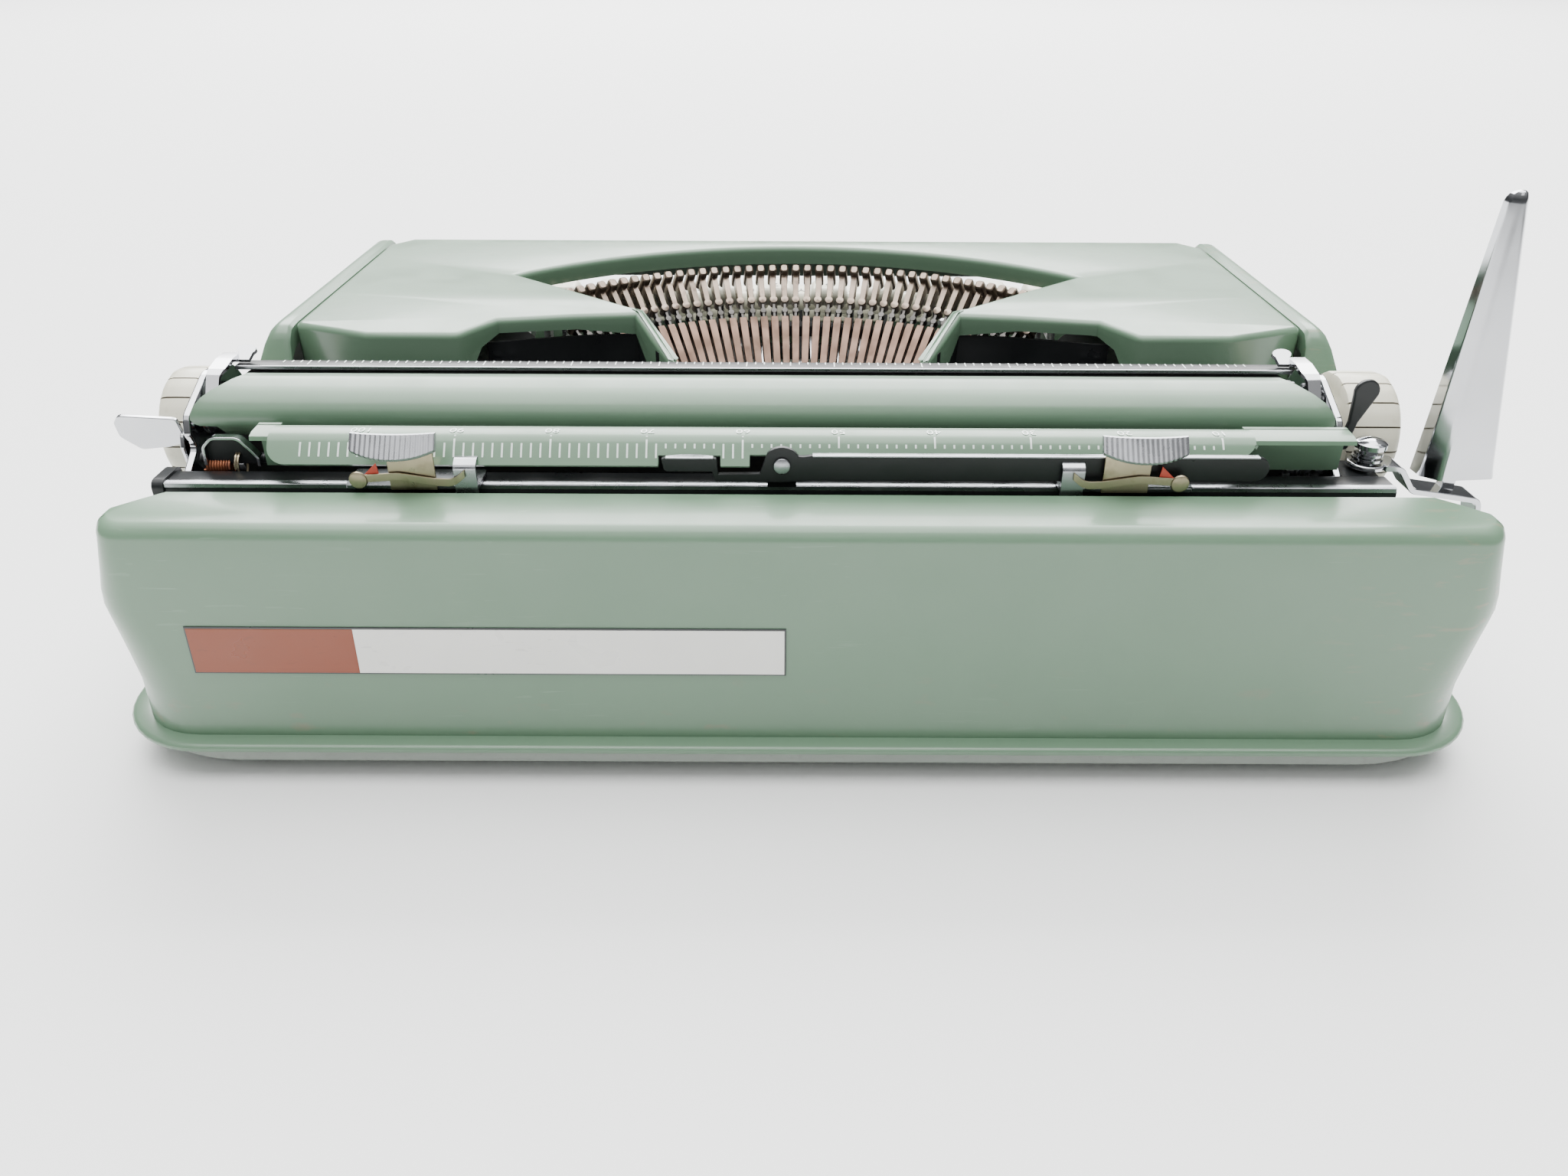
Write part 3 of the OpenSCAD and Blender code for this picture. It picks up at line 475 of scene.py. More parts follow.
def soften(node, mat, width):
    """A detailed stand-in for a plain CAD node: the same shape, welded, with rounded edges."""
    mesh = frame["nodes"][node].data.copy()
    mesh.name = node + "_detailed"
    bm = bmesh.new()
    bm.from_mesh(mesh)
    bmesh.ops.remove_doubles(bm, verts=bm.verts, dist=0.002 * MM)
    bmesh.ops.dissolve_limit(bm, angle_limit=math.radians(0.8), verts=bm.verts, edges=bm.edges)
    bmesh.ops.recalc_face_normals(bm, faces=bm.faces)
    bm.to_mesh(mesh)
    bm.free()
    mesh.materials.clear()
    mesh.materials.append(mat)
    for face in mesh.polygons:
        face.material_index = 0
    mesh.shade_smooth()
    mesh.set_sharp_from_angle(angle=math.radians(32))
    piece = bpy.data.objects.new(node + "_detailed", mesh)
    bpy.context.scene.collection.objects.link(piece)
    bevel(piece, width)
    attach(piece, BODY_OF[node])
    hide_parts(node)
    return piece


# ------------------------------------------------------------------------------- base and shell

FLANGE_HW, FLANGE_FRONT, FLANGE_TOP = 158, -147, 10


def base_tray():
    form = Form()
    # inset from the flange's edge, height, corner radius: from the bottom, out round the lip, and inside
    under = [(9, 4.5, 24), (2.6, 4.5, 30), (1.8, 4.8, 29), (1.5, 5.4, 28), (1.3, 7.4, 27)]
    lip = [(1.1, 7.8, 25), (0.5, 8.0, 23), (0.1, 8.4, 23), (0, 8.8, 23), (0, 9.3, 23), (0.4, 9.8, 22.7),
           (1.1, 10, 22), (7.6, 10, 16), (8.6, 9.4, 15)]
    inside = [(9, 8.6, 13), (9, 5.8, 13)]
    rings = []
    for d, z, r in under + lip + inside:
        plan = rounded(-FLANGE_HW + d, FLANGE_HW - d, FLANGE_FRONT + d, FLANGE_BACK - d, r, 10)
        rings.append([(x, y, z) for x, y in plan])
    form.loft(rings, mat=[1] * len(under) + [0] * len(lip) + [1])
    detail("base_tray", form, [PAINT, UNDERSIDE], "green_paint", 0, sharp=50)


def rubber_feet():
    form = Form()
    profile = [(0.01, 1.2), (3, 1.2), (3.6, 0.2), (7.6, 0), (8.6, 0.3), (9.2, 1.2), (9.5, 3.6), (9.1, 4.5),
               (0.01, 4.5)]
    for x in (-126, 126):
        for y in (-118, 112):
            form.turn(profile, (x, y), n=28)
    detail("rubber_feet", form, FOOT, "foot_rubber", 0, sharp=60)


SIDE_HW, SIDE_Z, LEDGE_Z, LEDGE_Y, TROUGH_Z, COVER_Z = 153, 42, 61.4, 117, 38, 77.5
REAR_Y, COVER_HW, COVER_FRONT = 134, 133, -44
LEAN = math.tan(math.radians(3))
SHELL_FRONT, WELL_HW, WELL_FRONT, SIDE_CORNER = -142, 136, -137.5, 14


def side_x(z):
    """Half width of the shell at a height: upright, then leaning in."""
    if z <= SIDE_Z - 3:
        return SIDE_HW
    if z <= SIDE_Z + 3:
        t = (z - SIDE_Z + 3) / 6
        return SIDE_HW - 1.24 * t * t
    return SIDE_HW - (z - SIDE_Z) * 8 / 19.4


def rear_ring(z):
    """Plan of the shell's rear box at a height: wall, round corners that tighten upwards, cut sides."""
    t = max(0.0, min(1.0, (z - 20) / (LEDGE_Z - 20)))
    back = REAR_Y + (LEDGE_Z - z) * LEAN
    corner = 17 - 12.8 * t
    wall = side_x(z) + 2.4 * t * t
    cut = max(0.0, min(1.0, (z - TROUGH_Z + 6) / (LEDGE_Z - TROUGH_Z + 6)))
    cut = cut * cut * (3 - 2 * cut)
    front_x = wall - 9 * cut
    turn_y = LEDGE_Y + 0.5 + 9 * cut
    half = ([(front_x, LEDGE_Y), (wall + (front_x - wall) * 0.5, (LEDGE_Y + turn_y) / 2), (wall, turn_y)]
            + arc((wall - corner, back - corner), corner, 0, 90, 8))
    return half + [(-x, y) for x, y in half[::-1]]


def rear_box(form):
    """Upright rings, rounded over to the ledge, and the wall between the ledge and the carriage's way."""
    roll = 3.2
    levels = [FLANGE_TOP, 14, 20, 27, 33, TROUGH_Z, 41, 45, 50, LEDGE_Z - roll]
    rings = [[(x, y, z) for x, y in rear_ring(z)] for z in levels]
    top = rear_ring(LEDGE_Z - roll)
    middle_y = 124
    for k in range(1, 7):
        a = math.radians(15 * k)
        inset = roll * (1 - math.cos(a))
        ring = []
        for x, y in top:
            dx = -inset if x > 0 else inset
            dy = -inset if y > middle_y + 6 else (0 if y < LEDGE_Y + 1 else -inset * 0.4)
            dy -= roll * math.sin(a) * LEAN if y > middle_y else 0
            share = 0.4 if y > LEDGE_Y + 1 else 0.2
            ring.append((x + dx * share, y + dy, LEDGE_Z - roll + roll * math.sin(a)))
        rings.append(ring)
    made = form.loft(rings, loop=False, caps=(False, False))
    form.face(made[-1])
    ends = [(ring[0], ring[-1]) for ring in made[levels.index(TROUGH_Z):]]
    for (a, b), (c, d) in zip(ends, ends[1:]):
        form.face((a, c, d, b))


def rim_z(y):
    """Height of the shell's rim: low round the keyboard, up the side, level, and down to the trough."""
    return lerp_path([(SHELL_FRONT, 27), (-140.5, 27.5), (-134, 31), (-56, 63.2), (-52, 65.6), (-48, 71.5),
                      (-44.5, 76.6), (-42, COVER_Z), (46, COVER_Z), (49.5, 76.8), (51.5, 74), (56, 56),
                      (59, 41), (60, TROUGH_Z)], y)


def wall_column(outer, inward, top_z, inner, drop=5):
    """Points from the flange up the wall, over the rim and down its inner edge."""
    heights = [FLANGE_TOP + (min(SIDE_Z - 3, top_z - 3) - FLANGE_TOP) * k / 4 for k in range(5)]
    heights += [heights[-1] + (top_z - 3 - heights[-1]) * k / 5 for k in range(1, 6)]
    points = [(side_x(z) - SIDE_HW, z) for z in heights]
    lean, z0 = points[-1]
    for k in range(1, 6):
        a = math.radians(18 * k)
        points.append((lean - 3 * (1 - math.cos(a)), z0 + 3 * math.sin(a)))
    shoulder = points[-1][0]
    points += [(shoulder + (0.8 - inner - shoulder) * k / 3, top_z) for k in (1, 2, 3)]
    points += [(-inner, top_z - 0.8), (-inner, top_z - 0.8 - drop)]
    return [(outer.x - inward.x * d, outer.y - inward.y * d, z) for d, z in points]


def sides_and_front(form):
    """One sheet of wall columns, from the carriage's way round the front to the way's other end."""
    stations = [-128, -124, -110, -92, -74, -60, -56, -53, -50, -48, -46, -44.5, -43, -41, -20, 0, 20, 38,
                44, 47, 49, 50.5, 51.5, 54, 56, 57.5, 59, 60]
    columns = []
    for y in stations[::-1]:
        inner = SIDE_HW - (COVER_HW + 0.6 if y > -47 else WELL_HW)
        drop = 5 if y < 50 else max(0.05, 5 - (y - 50) * 0.8)
        columns.append(wall_column(Vector((SIDE_HW, y)), Vector((-1, 0)), rim_z(y), inner, drop))
    corner_x, corner_y = SIDE_HW - SIDE_CORNER, SHELL_FRONT + SIDE_CORNER
    for k in range(1, 9):
        a = math.radians(90 * k / 9)
        outer = Vector((corner_x + SIDE_CORNER * math.cos(a), corner_y - SIDE_CORNER * math.sin(a)))
        aim = Vector((WELL_HW, WELL_FRONT)) - outer
        y = max(SHELL_FRONT, min(corner_y, outer.y))
        columns.append(wall_column(outer, aim.normalized(), rim_z(y), aim.length))
    for x in (corner_x, 100, 50, 0):
        columns.append(wall_column(Vector((x, SHELL_FRONT)), Vector((0, 1)), rim_z(SHELL_FRONT),
                                   WELL_FRONT - SHELL_FRONT))
    mirrored = [[(-x, y, z) for x, y, z in c] for c in columns[:-1]][::-1]
    ids = [form.ring(c) for c in columns + mirrored]
    for a, b in zip(ids, ids[1:]):
        form.skin(a, b, loop=False)


def way_walls(form):
    """Low side walls along the way of the carriage."""
    for s in (-1, 1):
        walls = [form.ring([(s * SIDE_HW, y, FLANGE_TOP + (TROUGH_Z - FLANGE_TOP) * k / 6) for k in range(7)])
                 for y in (60, 74, 88, 102, LEDGE_Y)]
        for a, b in zip(walls, walls[1:]):
            form.skin(a, b, loop=False)


def body_shell():
    form = Form()
    rear_box(form)
    sides_and_front(form)
    way_walls(form)
    piece = detail("body_shell", form, SHELL_PAINT, "green_paint", 0, sharp=50)
    weld(piece)
    thicken(piece, 2.0)
    bevel(piece, 0.5, 3, 40)


def lerp_path(path, t):
    """Value at t of a broken line through (t, value) points."""
    for (a, x), (b, y) in zip(path, path[1:]):
        if t <= b:
            return x + (y - x) * max(0.0, (t - a) / (b - a))
    return path[-1][1]


def weld(piece, gap=0.02):
    """Joins the seams of a sheet that was made in patches."""
    bm = bmesh.new()
    bm.from_mesh(piece.data)
    bmesh.ops.remove_doubles(bm, verts=bm.verts, dist=gap * MM)
    bmesh.ops.recalc_face_normals(bm, faces=bm.faces)
    bm.to_mesh(piece.data)
    bm.free()
    piece.data.set_sharp_from_angle(angle=math.radians(50))


def thicken(piece, t):
    """Gives a sheet its thickness, on the side away from its faces' normals."""
    mod = piece.modifiers.new("thickness", "SOLIDIFY")
    mod.thickness = t * MM
    mod.offset = -1
    mod.use_even_offset = False
    mod.use_quality_normals = True


def label_plate():
    form = Form()
    low, high = mm_box("label_plate")

    def panel(x0, x1, z0, z1, lift, mat):
        """A flat field on the leaning rear wall."""
        rings = []
        for d, t in ((0, 0), (0, lift - 0.1), (0.1, lift)):
            corners = [(x0 + d, z0 + d), (x1 - d, z0 + d), (x1 - d, z1 - d), (x0 + d, z1 - d)]
            rings.append([(x, REAR_Y + (LEDGE_Z - z) * LEAN + t, z) for x, z in corners])
        form.loft(rings, mat=mat)

    split = low.x + (high.x - low.x) * 0.72
    rim = 0.35
    panel(low.x, high.x, low.z, high.z, 0.40, 2)
    panel(low.x + rim, split, low.z + rim, high.z - rim, 0.52, 0)
    panel(split, high.x - rim, low.z + rim, high.z - rim, 0.52, 1)
    detail("label_plate", form, [WHITE, RUST, INK], "label", 0)


# -------------------------------------------------------------------------------- ribbon cover

ARCH_HW, ARCH_SAG = 85, 35
ARCH_R = (ARCH_HW ** 2 + ARCH_SAG ** 2) / (2 * ARCH_SAG)
ARCH_Y = ARCH_R - ARCH_SAG


def cover_loop():
    """Plan of the cover's top, with how far its edge turns down at each point: (x, y, depth, forward)."""
    half_angle = math.degrees(math.asin(ARCH_HW / ARCH_R))
    arch = [(x, y, 5.5, 0) for x, y in arc((0, ARCH_Y), ARCH_R, 270, 270 + half_angle * 0.985, 20)]
    tongue = [(80, 2.2, 4, 0), (62, 17.5, 4, 0), (44.5, 32.5, 4.5, 0)]
    fin = [(42.3, 35.0, 6, 0), (37.0, 46, 12, 0), (31.6, 57, 14, 0), (33.2, 57.8, 14, 0), (39.2, 47, 12, 0),
           (44.5, 36.6, 6, 0)]
    notch = [(60, 39.6, 4, 0), (80.4, 43.2, 4, 0), (84, 49, 6, 0), (87.4, 55, 14, 0)]
    rear = [(89, 56, 15, 0), (100, 56, 15, 0), (112, 56, 15, 0), (122, 52, 15, 0), (132, 48.2, 15, 0)]
    side = [(133, 46.8, 15, 0), (133, 20, 12, 0), (133, -20, 12, 0), (133, -36, 12, 0)]
    front = [(127, COVER_FRONT, 13, 8.5), (90, COVER_FRONT, 13, 8.5), (45, COVER_FRONT, 13, 8.5)]
    half = arch + tongue + fin + notch + rear + side + front
    return half + [(0, COVER_FRONT, 13, 8.5)] + [(-x, y, d, f) for x, y, d, f in half[:0:-1]]


def fin_drop(x, y):
    """How far the fins beside the middle opening slope down as they run back to the ribbon."""
    return max(0.0, y - 35.8) * 0.31 if abs(x) < 46 else 0.0


def ribbon_cover():
    form = Form()
    loop = cover_loop()[::-1]
    flat = [(x, y) for x, y, d, f in loop]
    roll = 1.7
    rings = []
    for k in range(6):
        a = math.radians(18 * k)
        inset = offset(flat, roll * (1 - math.sin(a)), closed=True)
        rings.append([(x, y, COVER_Z - fin_drop(u, v) - roll + roll * math.cos(a))
                      for (x, y), (u, v) in zip(inset, flat)])
    for share in (0.5, 1):
        rings.append([(x, y - f * share, COVER_Z - fin_drop(x, y) - roll - (d - roll) * share)
                      for x, y, d, f in loop])
    made = form.loft(rings, caps=(False, False))
    for a, b, c in tessellate_polygon([[Vector((x, y, 0)) for x, y, z in rings[0]]]):
        form.face((made[0][a], made[0][b], made[0][c]))
    piece = detail("ribbon_cover", form, PAINT, "green_paint", 0, sharp=38)
    if sum(f.normal.z * f.area for f in piece.data.polygons) < 0:
        piece.data.flip_normals()
    thicken(piece, 1.5)
    bevel(piece, 0.3, 2, 50)


def ribbon_shields():
    """Black plates that close the space in front of the ribbon notches: painted shade, dark sheets that stand
    in for the shade inside the openings.
    """
    form = Form()
    for s in (-1, 1):
        bend = fillet([(s * 84, 43.2), (s * 60, 37.2), (s * 44, 35.2), (s * 36.6, 51.2)], [0, 3, 1, 0], 4)
        form.prism(thick(bend, 0.8), 40.1, 71)
    # the black sheets are painted shade in the notches
    build("ribbon_shields", form, "frame", BLACK, soft=0.1)


# --------------------------------------------------------------------------------- type basket

PRINT_Y = 64.5
PIVOT = Vector((0, 10.8, 24.1))
SLUG = Vector((0, -38, 69))
BARS, FAN = 44, 48
MID_BAR = BARS // 2


def typebar():
    """One bar along +Y from its pivot: heel, flat shank, thin neck with a stud, and head with its slug."""
    form = Form()
    length = (SLUG - PIVOT).length

    def blade(stations, mat):
        """(distance, half thickness, lower, upper) along the bar."""
        form.loft([[(-t, u, low), (t, u, low), (t, u, high), (-t, u, high)] for u, t, low, high in stations],
                  mat=mat)

    blade([(-3, 0.55, -2.8, 2.4), (4, 0.55, -2.3, 2.2), (12, 0.55, -2.0, 3.0), (15, 0.75, -2.0, 2.6),
           (20, 0.95, -2.0, 2.0), (34, 1.1, -1.9, 1.9), (46.5, 1.2, -1.8, 1.8), (48.5, 1.1, -1.5, 1.5)], 0)
    blade([(48, 0.45, -1.2, 1.2), (54.5, 0.45, -1.2, 1.2)], 2)
    form.turn([(0.05, -1.35), (1.0, -1.3), (1.1, 0), (1.0, 1.3), (0.05, 1.35)], (0, 50.8), n=10, mat=2)
    # the head: a rounded lug at its foot, a blade that widens, and the slug
    form.turn([(0.05, -2.0), (1.3, -1.7), (1.3, 1.7), (0.9, 2.1), (0.05, 2.2)], (0, 54.6), n=12, mat=1)
    blade([(54.6, 0.7, -1.6, 1.7), (56, 0.85, -1.7, 1.9), (61.5, 0.95, -2.0, 2.2),
           (length - 2.6, 0.8, -2.2, 2.4)], 1)
    head = rounded(-1.35, 1.35, length - 3.2, length - 0.2, 0.9, 4)
    form.loft([[(x * k, (y - length + 1.7) * k + length - 1.7, v) for x, y in head]
               for v, k in ((-4.4, 0.7), (-4.0, 1), (4.0, 1), (4.4, 0.7))], mat=1)
    for v in (-2.3, 2.1):
        form.prism([(-0.9, v - 1.3), (0.9, v - 1.3), (0.9, v + 1.3), (-0.9, v + 1.3)], length - 0.25, length,
                   lambda u, w, t: (u, t, w), 1)
    return form


def stand_bar(form, bar, angle):
    """Adds a bar at rest, turned round the print point by its place in the fan."""
    lean = math.atan2(SLUG.z - PIVOT.z, SLUG.y - PIVOT.y)
    round_print = (Matrix.Translation((0, PRINT_Y, 0)) @ Matrix.Rotation(math.radians(angle), 4, "Z")
                   @ Matrix.Translation((0, -PRINT_Y, 0)))
    form.add(bar, round_print @ Matrix.Translation(PIVOT) @ Matrix.Rotation(lean, 4, "X"))


def typebars():
    bar = typebar()
    fixed, moving = Form(), Form()
    for i in range(BARS):
        stand_bar(moving if i == MID_BAR else fixed, bar, 2 * FAN * (i - MID_BAR) / (BARS - 1))
    mats = [TYPE_STEEL, SLUG_STEEL, DARK_STEEL]
    detail("typebar_set", fixed, mats, "type_steel", 0.18)
    detail("typebar_center", moving, mats, "type_steel", 0.18)


def inner_works():
    """Plates, shafts and small parts whose plain shapes are right: edges softened, plated or painted."""
    for node, mat, width in (
            ("chassis_frame", BLACK, 0.3), ("carriage_track", DARK_STEEL, 0.4),
            ("typebar_segment", DARK_STEEL, 0.2), ("typebar_rest", FELT, 0.5), ("type_guide", CHROME, 0.3),
            ("card_holder", CHROME, 0.2), ("key_pivot_rod", STEEL, 0.3), ("ribbon_spool_left", PLASTIC, 0.25),
            ("ribbon_spool_right", PLASTIC, 0.25), ("ribbon_vibrator", CHROME, 0.2),
            ("mainspring_drum", STEEL, 0.4), ("escapement_wheel", BRASS, 0.2),
            ("escapement_rack", STEEL, 0.15), ("feed_roller_front", RUBBER, 0.3),
            ("feed_roller_rear", RUBBER, 0.3), ("platen_core", STEEL, 0.2),
            ("levers_number_row", STEEL, 0.15), ("levers_upper_row", STEEL, 0.15),
            ("levers_home_row", STEEL, 0.15), ("levers_lower_row", STEEL, 0.15),
            ("ribbon_selector", PLASTIC, 0.4), ("lever_pivot_screw", CHROME, 0.15)):
        soften(node, mat, width)


def bell():
    form = Form()
    outer = arc((0, 14), 13, 0, 88, 12)
    inner = arc((0, 14), 11.9, 88, 0, 12)
    form.turn(outer + inner, (-60, 84), n=36, hollow=True)
    form.turn([(0.4, 5.8), (1.5, 6), (1.5, 25), (3, 25.6), (3, 26.6), (2, 27), (0.2, 27)], (-60, 84), n=16)
    detail("bell", form, BRASS, "brass", 0, sharp=40)


def ribbon_posts():
    form = Form()
    for s in (-1, 1):
        x = s * 79
        form.turn([(1.8, 30), (1.8, 59.6), (2.6, 60.2), (2.6, 61)], (x, 46), n=20)
        # forked head that keeps the ribbon in
        for dx in (-1.9, 1.9):
            form.prism(rounded(x + dx - 0.9, x + dx + 0.9, 44.6, 47.4, 0.6, 3), 60.6, 67)
        form.prism(rounded(x - 3, x + 3, 46, 57, 1, 3), 28, 30)
    detail("ribbon_guide_posts", form, CHROME, "chrome", 0.25)


def ribbon():
    """Cloth strip from spool to spool, a little slack between its guides."""
    form = Form()
    path = [(103, 42.6), (81, 49.2), (58, 51.2), (36, 54.0), (16, 56.2), (0, 56.4)]
    path = path + [(-x, y) for x, y in path[-2::-1]]
    smooth = fillet(path, 6, 4)
    rings = []
    for z, bulge in ((46, 0), (46.4, 0.04), (49, 0.10), (52, 0.02), (55, -0.06), (57.6, 0.02), (58, 0)):
        rings.append([(x, y + bulge * math.sin(x / 7), z) for x, y in smooth])
    form.loft(rings, loop=False, caps=(False, False))
    piece = detail("ribbon", form, CLOTH, "ribbon_fabric", 0, sharp=60)
    thicken(piece, 0.3)


# ------------------------------------------------------------------------------------ keyboard

# number, upper, home and lower row: first key's x, number of keys, y, top of the keytop
ROWS = [(-107, 12, -62, 58), (-97.5, 11, -80, 51), (-92.75, 11, -98, 44), (-83.25, 10, -116, 37)]
PITCH, KEY_W, CENTER_COL = 19, 13.6, 5
LEGENDS = ["1234567890-=", "QWERTYUIOP@", "ASDFGHJKL;:", "ZXCVBNM,./"]
LEGEND_SIZE, LEGEND_DROP = 5.2, 0.42


def keytop(form, x, y, z, w=KEY_W):
    """A cap with a skirt, a rounded shoulder and a dished finger face."""
    rings = []
    for inset, height in ((0.4, 0), (0, 0.5), (0.1, 3.2), (0.35, 4.2), (0.9, 5.2), (1.5, 5.8), (2.1, 6.0),
                          (2.9, 5.85), (4.2, 5.55)):
        plan = rounded(x - w / 2 + inset, x + w / 2 - inset, y - 7 + inset, y + 7 - inset,
                       3.2 - inset * 0.35, 5)
        rings.append([(px, py, z - 6 + height) for px, py in plan])
    form.loft(rings)


def lettering(text, size, centre):
    """Flat generic characters as a Form, centred and facing up."""
    curve = bpy.data.curves.new("characters", "FONT")
    curve.body = text
    curve.size = size
    curve.align_x = curve.align_y = "CENTER"
    curve.extrude = 0.03
    curve.resolution_u = 3
    holder = bpy.data.objects.new("characters", curve)
    bpy.context.scene.collection.objects.link(holder)
    mesh = bpy.data.meshes.new_from_object(holder)
    form = Form()
    form.verts = [tuple(v.co + Vector(centre)) for v in mesh.vertices]
    form.faces = [tuple(p.vertices) for p in mesh.polygons]
    form.mats = [0] * len(form.faces)
    bpy.data.objects.remove(holder)
    bpy.data.curves.remove(curve)
    bpy.data.meshes.remove(mesh)
    return form


def keyboard():
    for row, (node, body) in enumerate((("keys_number_row", "number_row"), ("keys_upper_row", "upper_row"),
                                        ("keys_home_row", "home_row"), ("keys_lower_row", "lower_row"))):
        x0, count, y, z = ROWS[row]
        caps, marks = Form(), Form()
        for i in range(count):
            if (row, i) == (2, CENTER_COL):
                continue
            keytop(caps, x0 + PITCH * i, y, z)
            marks.add(lettering(LEGENDS[row][i], LEGEND_SIZE, (x0 + PITCH * i, y, z - LEGEND_DROP)))
        detail(node, caps, CREAM, "cream_plastic", 0, sharp=50)
        build(node + "_legends", marks, body, INK, soft=0, sharp=60)
    for node, body, row, col, w, dx, label in (
            ("center_key", "center_key", 2, CENTER_COL, KEY_W, 0, LEGENDS[2][CENTER_COL]),
            ("shift_lock_key", "shift_lock", 2, -1, KEY_W, 0, ""),
            ("backspace_key", "backspace", 0, 12, KEY_W, 0, ""),
            ("margin_release_key", "margin_release", 0, -1, KEY_W, 0, "")):
        special_key(node, body, [(row, col, w, dx)], label)
    special_key("shift_keys", "shift_keys", [(3, -1, 20, -3), (3, 10, 20, 3)], "")


LEVER_SLOPE = (0.135, 0.115, 0.10, 0.09)
ROD_Y, ROD_Z = 36, 10.5


def key_lever(form, x, row):
    """A pressed steel lever from the pivot rod to the stem under its keytop."""
    y, z, slope = ROWS[row][2], ROWS[row][3], LEVER_SLOPE[row]
    rise = slope * (ROD_Y - y)
    outline = [(ROD_Y + 4, ROD_Z - 3), (ROD_Y + 4, ROD_Z + 3), (ROD_Y - 4, ROD_Z + 3),
               (y + 3, ROD_Z + 1 + rise), (y + 3, z - 5.9), (y - 3, z - 5.9), (y - 3, ROD_Z - 3 + rise)]
    form.prism(fillet(outline, [2, 2, 6, 5, 0, 0, 5], closed=True), x - 0.7, x + 0.7, ALONG_X, 1)


def special_key(node, body, keys, label):
    """One or two keys of a body of their own: (row, column, width, sideways shift), with their levers."""
    form = Form()
    for row, col, w, dx in keys:
        x = ROWS[row][0] + PITCH * col
        keytop(form, x + dx, ROWS[row][2], ROWS[row][3], w)
        key_lever(form, x, row)
    if len(keys) > 1:
        ends = [ROWS[row][0] + PITCH * col for row, col, w, dx in keys]
        form.turn([(1.9, ends[0] - 0.7), (1.9, ends[1] + 0.7)], (ROD_Y + 12.5, ROD_Z), ALONG_X, 16, 1)
        link = rounded(ROD_Y + 3.9, ROD_Y + 12.6, ROD_Z - 2, ROD_Z + 2, 1, 3)
        for x in ends:
            form.prism(link, x - 0.7, x + 0.7, ALONG_X, 1)
    detail(node, form, [CREAM, STEEL], "cream_plastic", 0.12, sharp=40)
    if label:
        row, col, w, dx = keys[0]
        x0, y, z = ROWS[row][0], ROWS[row][2], ROWS[row][3]
        marks = lettering(label, LEGEND_SIZE, (x0 + PITCH * col, y, z - LEGEND_DROP))
        build(node + "_legend", marks, body, INK, soft=0, sharp=60)


def space_bar():
    form = Form()
    rings = []
    for inset, height in ((0.5, 0), (0, 0.6), (0, 4.2), (0.5, 5.4), (1.3, 6.2), (2.2, 6.55), (3.2, 6.6)):
        plan = rounded(-62 + inset, 62 - inset, -136.5 + inset, -126.5 - inset, 3.4 - inset * 0.5, 6)
        rings.append([(x, y, 24 + height) for x, y in plan])
    form.loft(rings)
    arm = fillet([(ROD_Y + 4, ROD_Z - 3), (ROD_Y + 4, ROD_Z + 3), (ROD_Y - 4, ROD_Z + 3), (-104, 17.2),
                  (-125, 17.2), (-127.5, 19.6), (-129, 24), (-134, 24), (-134, 20.8), (-131.2, 19),
                  (-129, 13.4), (-104, 13.2)], [2, 2, 5, 8, 1, 1, 1, 0.5, 1, 1, 1, 8], closed=True)
    for s in (-1, 1):
        form.prism(arm, s * 66.5 - 0.7, s * 66.5 + 0.7, ALONG_X, 1)
        form.prism(rounded(min(s * 55, s * 67.2), max(s * 55, s * 67.2), -134, -129, 1, 3), 22, 24, mat=1)
    detail("space_bar", form, [CREAM, STEEL], "cream_plastic", 0.15, sharp=45)


# ------------------------------------------------------------------------------------ carriage

PLATEN_Y, PLATEN_Z = 79, 61.5
END_X = 131.5
STEP_X, MID_UNIT = 2.117, 58                # one letter space, and the space on the carriage's middle
BAIL_PIVOT = (92, 68)
SUPPORT = (-4.4, 66.9)
SCREW = (-140.4, 98.6)
HINGE = (97, 59.5)


def carriage_rail():
    """The black channel that runs on the track, with its end brackets and the paper support's pivot."""
    form = Form()
    section = thick(fillet([(104.6, 50), (104.6, 60.4), (111.4, 60.4), (111.4, 50)], 1.1, 4), 1.2)
    form.prism(section, -142, 135, ALONG_X)
    # bright satin strip along the rear top edge: a painted highlight, standing in for the light that the
    # black paint's top face catches
    form.prism([(110.2, 61.0), (111.7, 60.7), (112.05, 60.0), (111.9, 61.0), (111.2, 61.25), (110.2, 61.25)],
               -141.8, 134.8, ALONG_X, 1)
    bracket = thick(fillet([(103.4, 52), (103.4, 61.2), (112, 61.2), (112, 52)], 1.6, 4), 1.0)
    form.prism(bracket, 133.6, 136.3, ALONG_X)
    form.prism(rounded(-142, -133.4, 94, 104.4, 1.8, 4), 58.2, 60)
    plate = fillet([(-7.6, 60.8), (-7.6, 69.8), (-1.2, 69.8), (-1.2, 60.8)], [0, 2.8, 2.8, 0], 5, closed=True)
    form.prism(plate, 110.9, 112, ALONG_Y)
    form.turn([(1.2, 112), (1.2, 114), (1.9, 114.05), (1.8, 114.5), (1.1, 114.75), (0.05, 114.8)], SUPPORT,
              ALONG_Y, 20, 1)
    detail("carriage_channel", form, [BLACK, SATIN], "black_metal", 0.16, carriage=True)


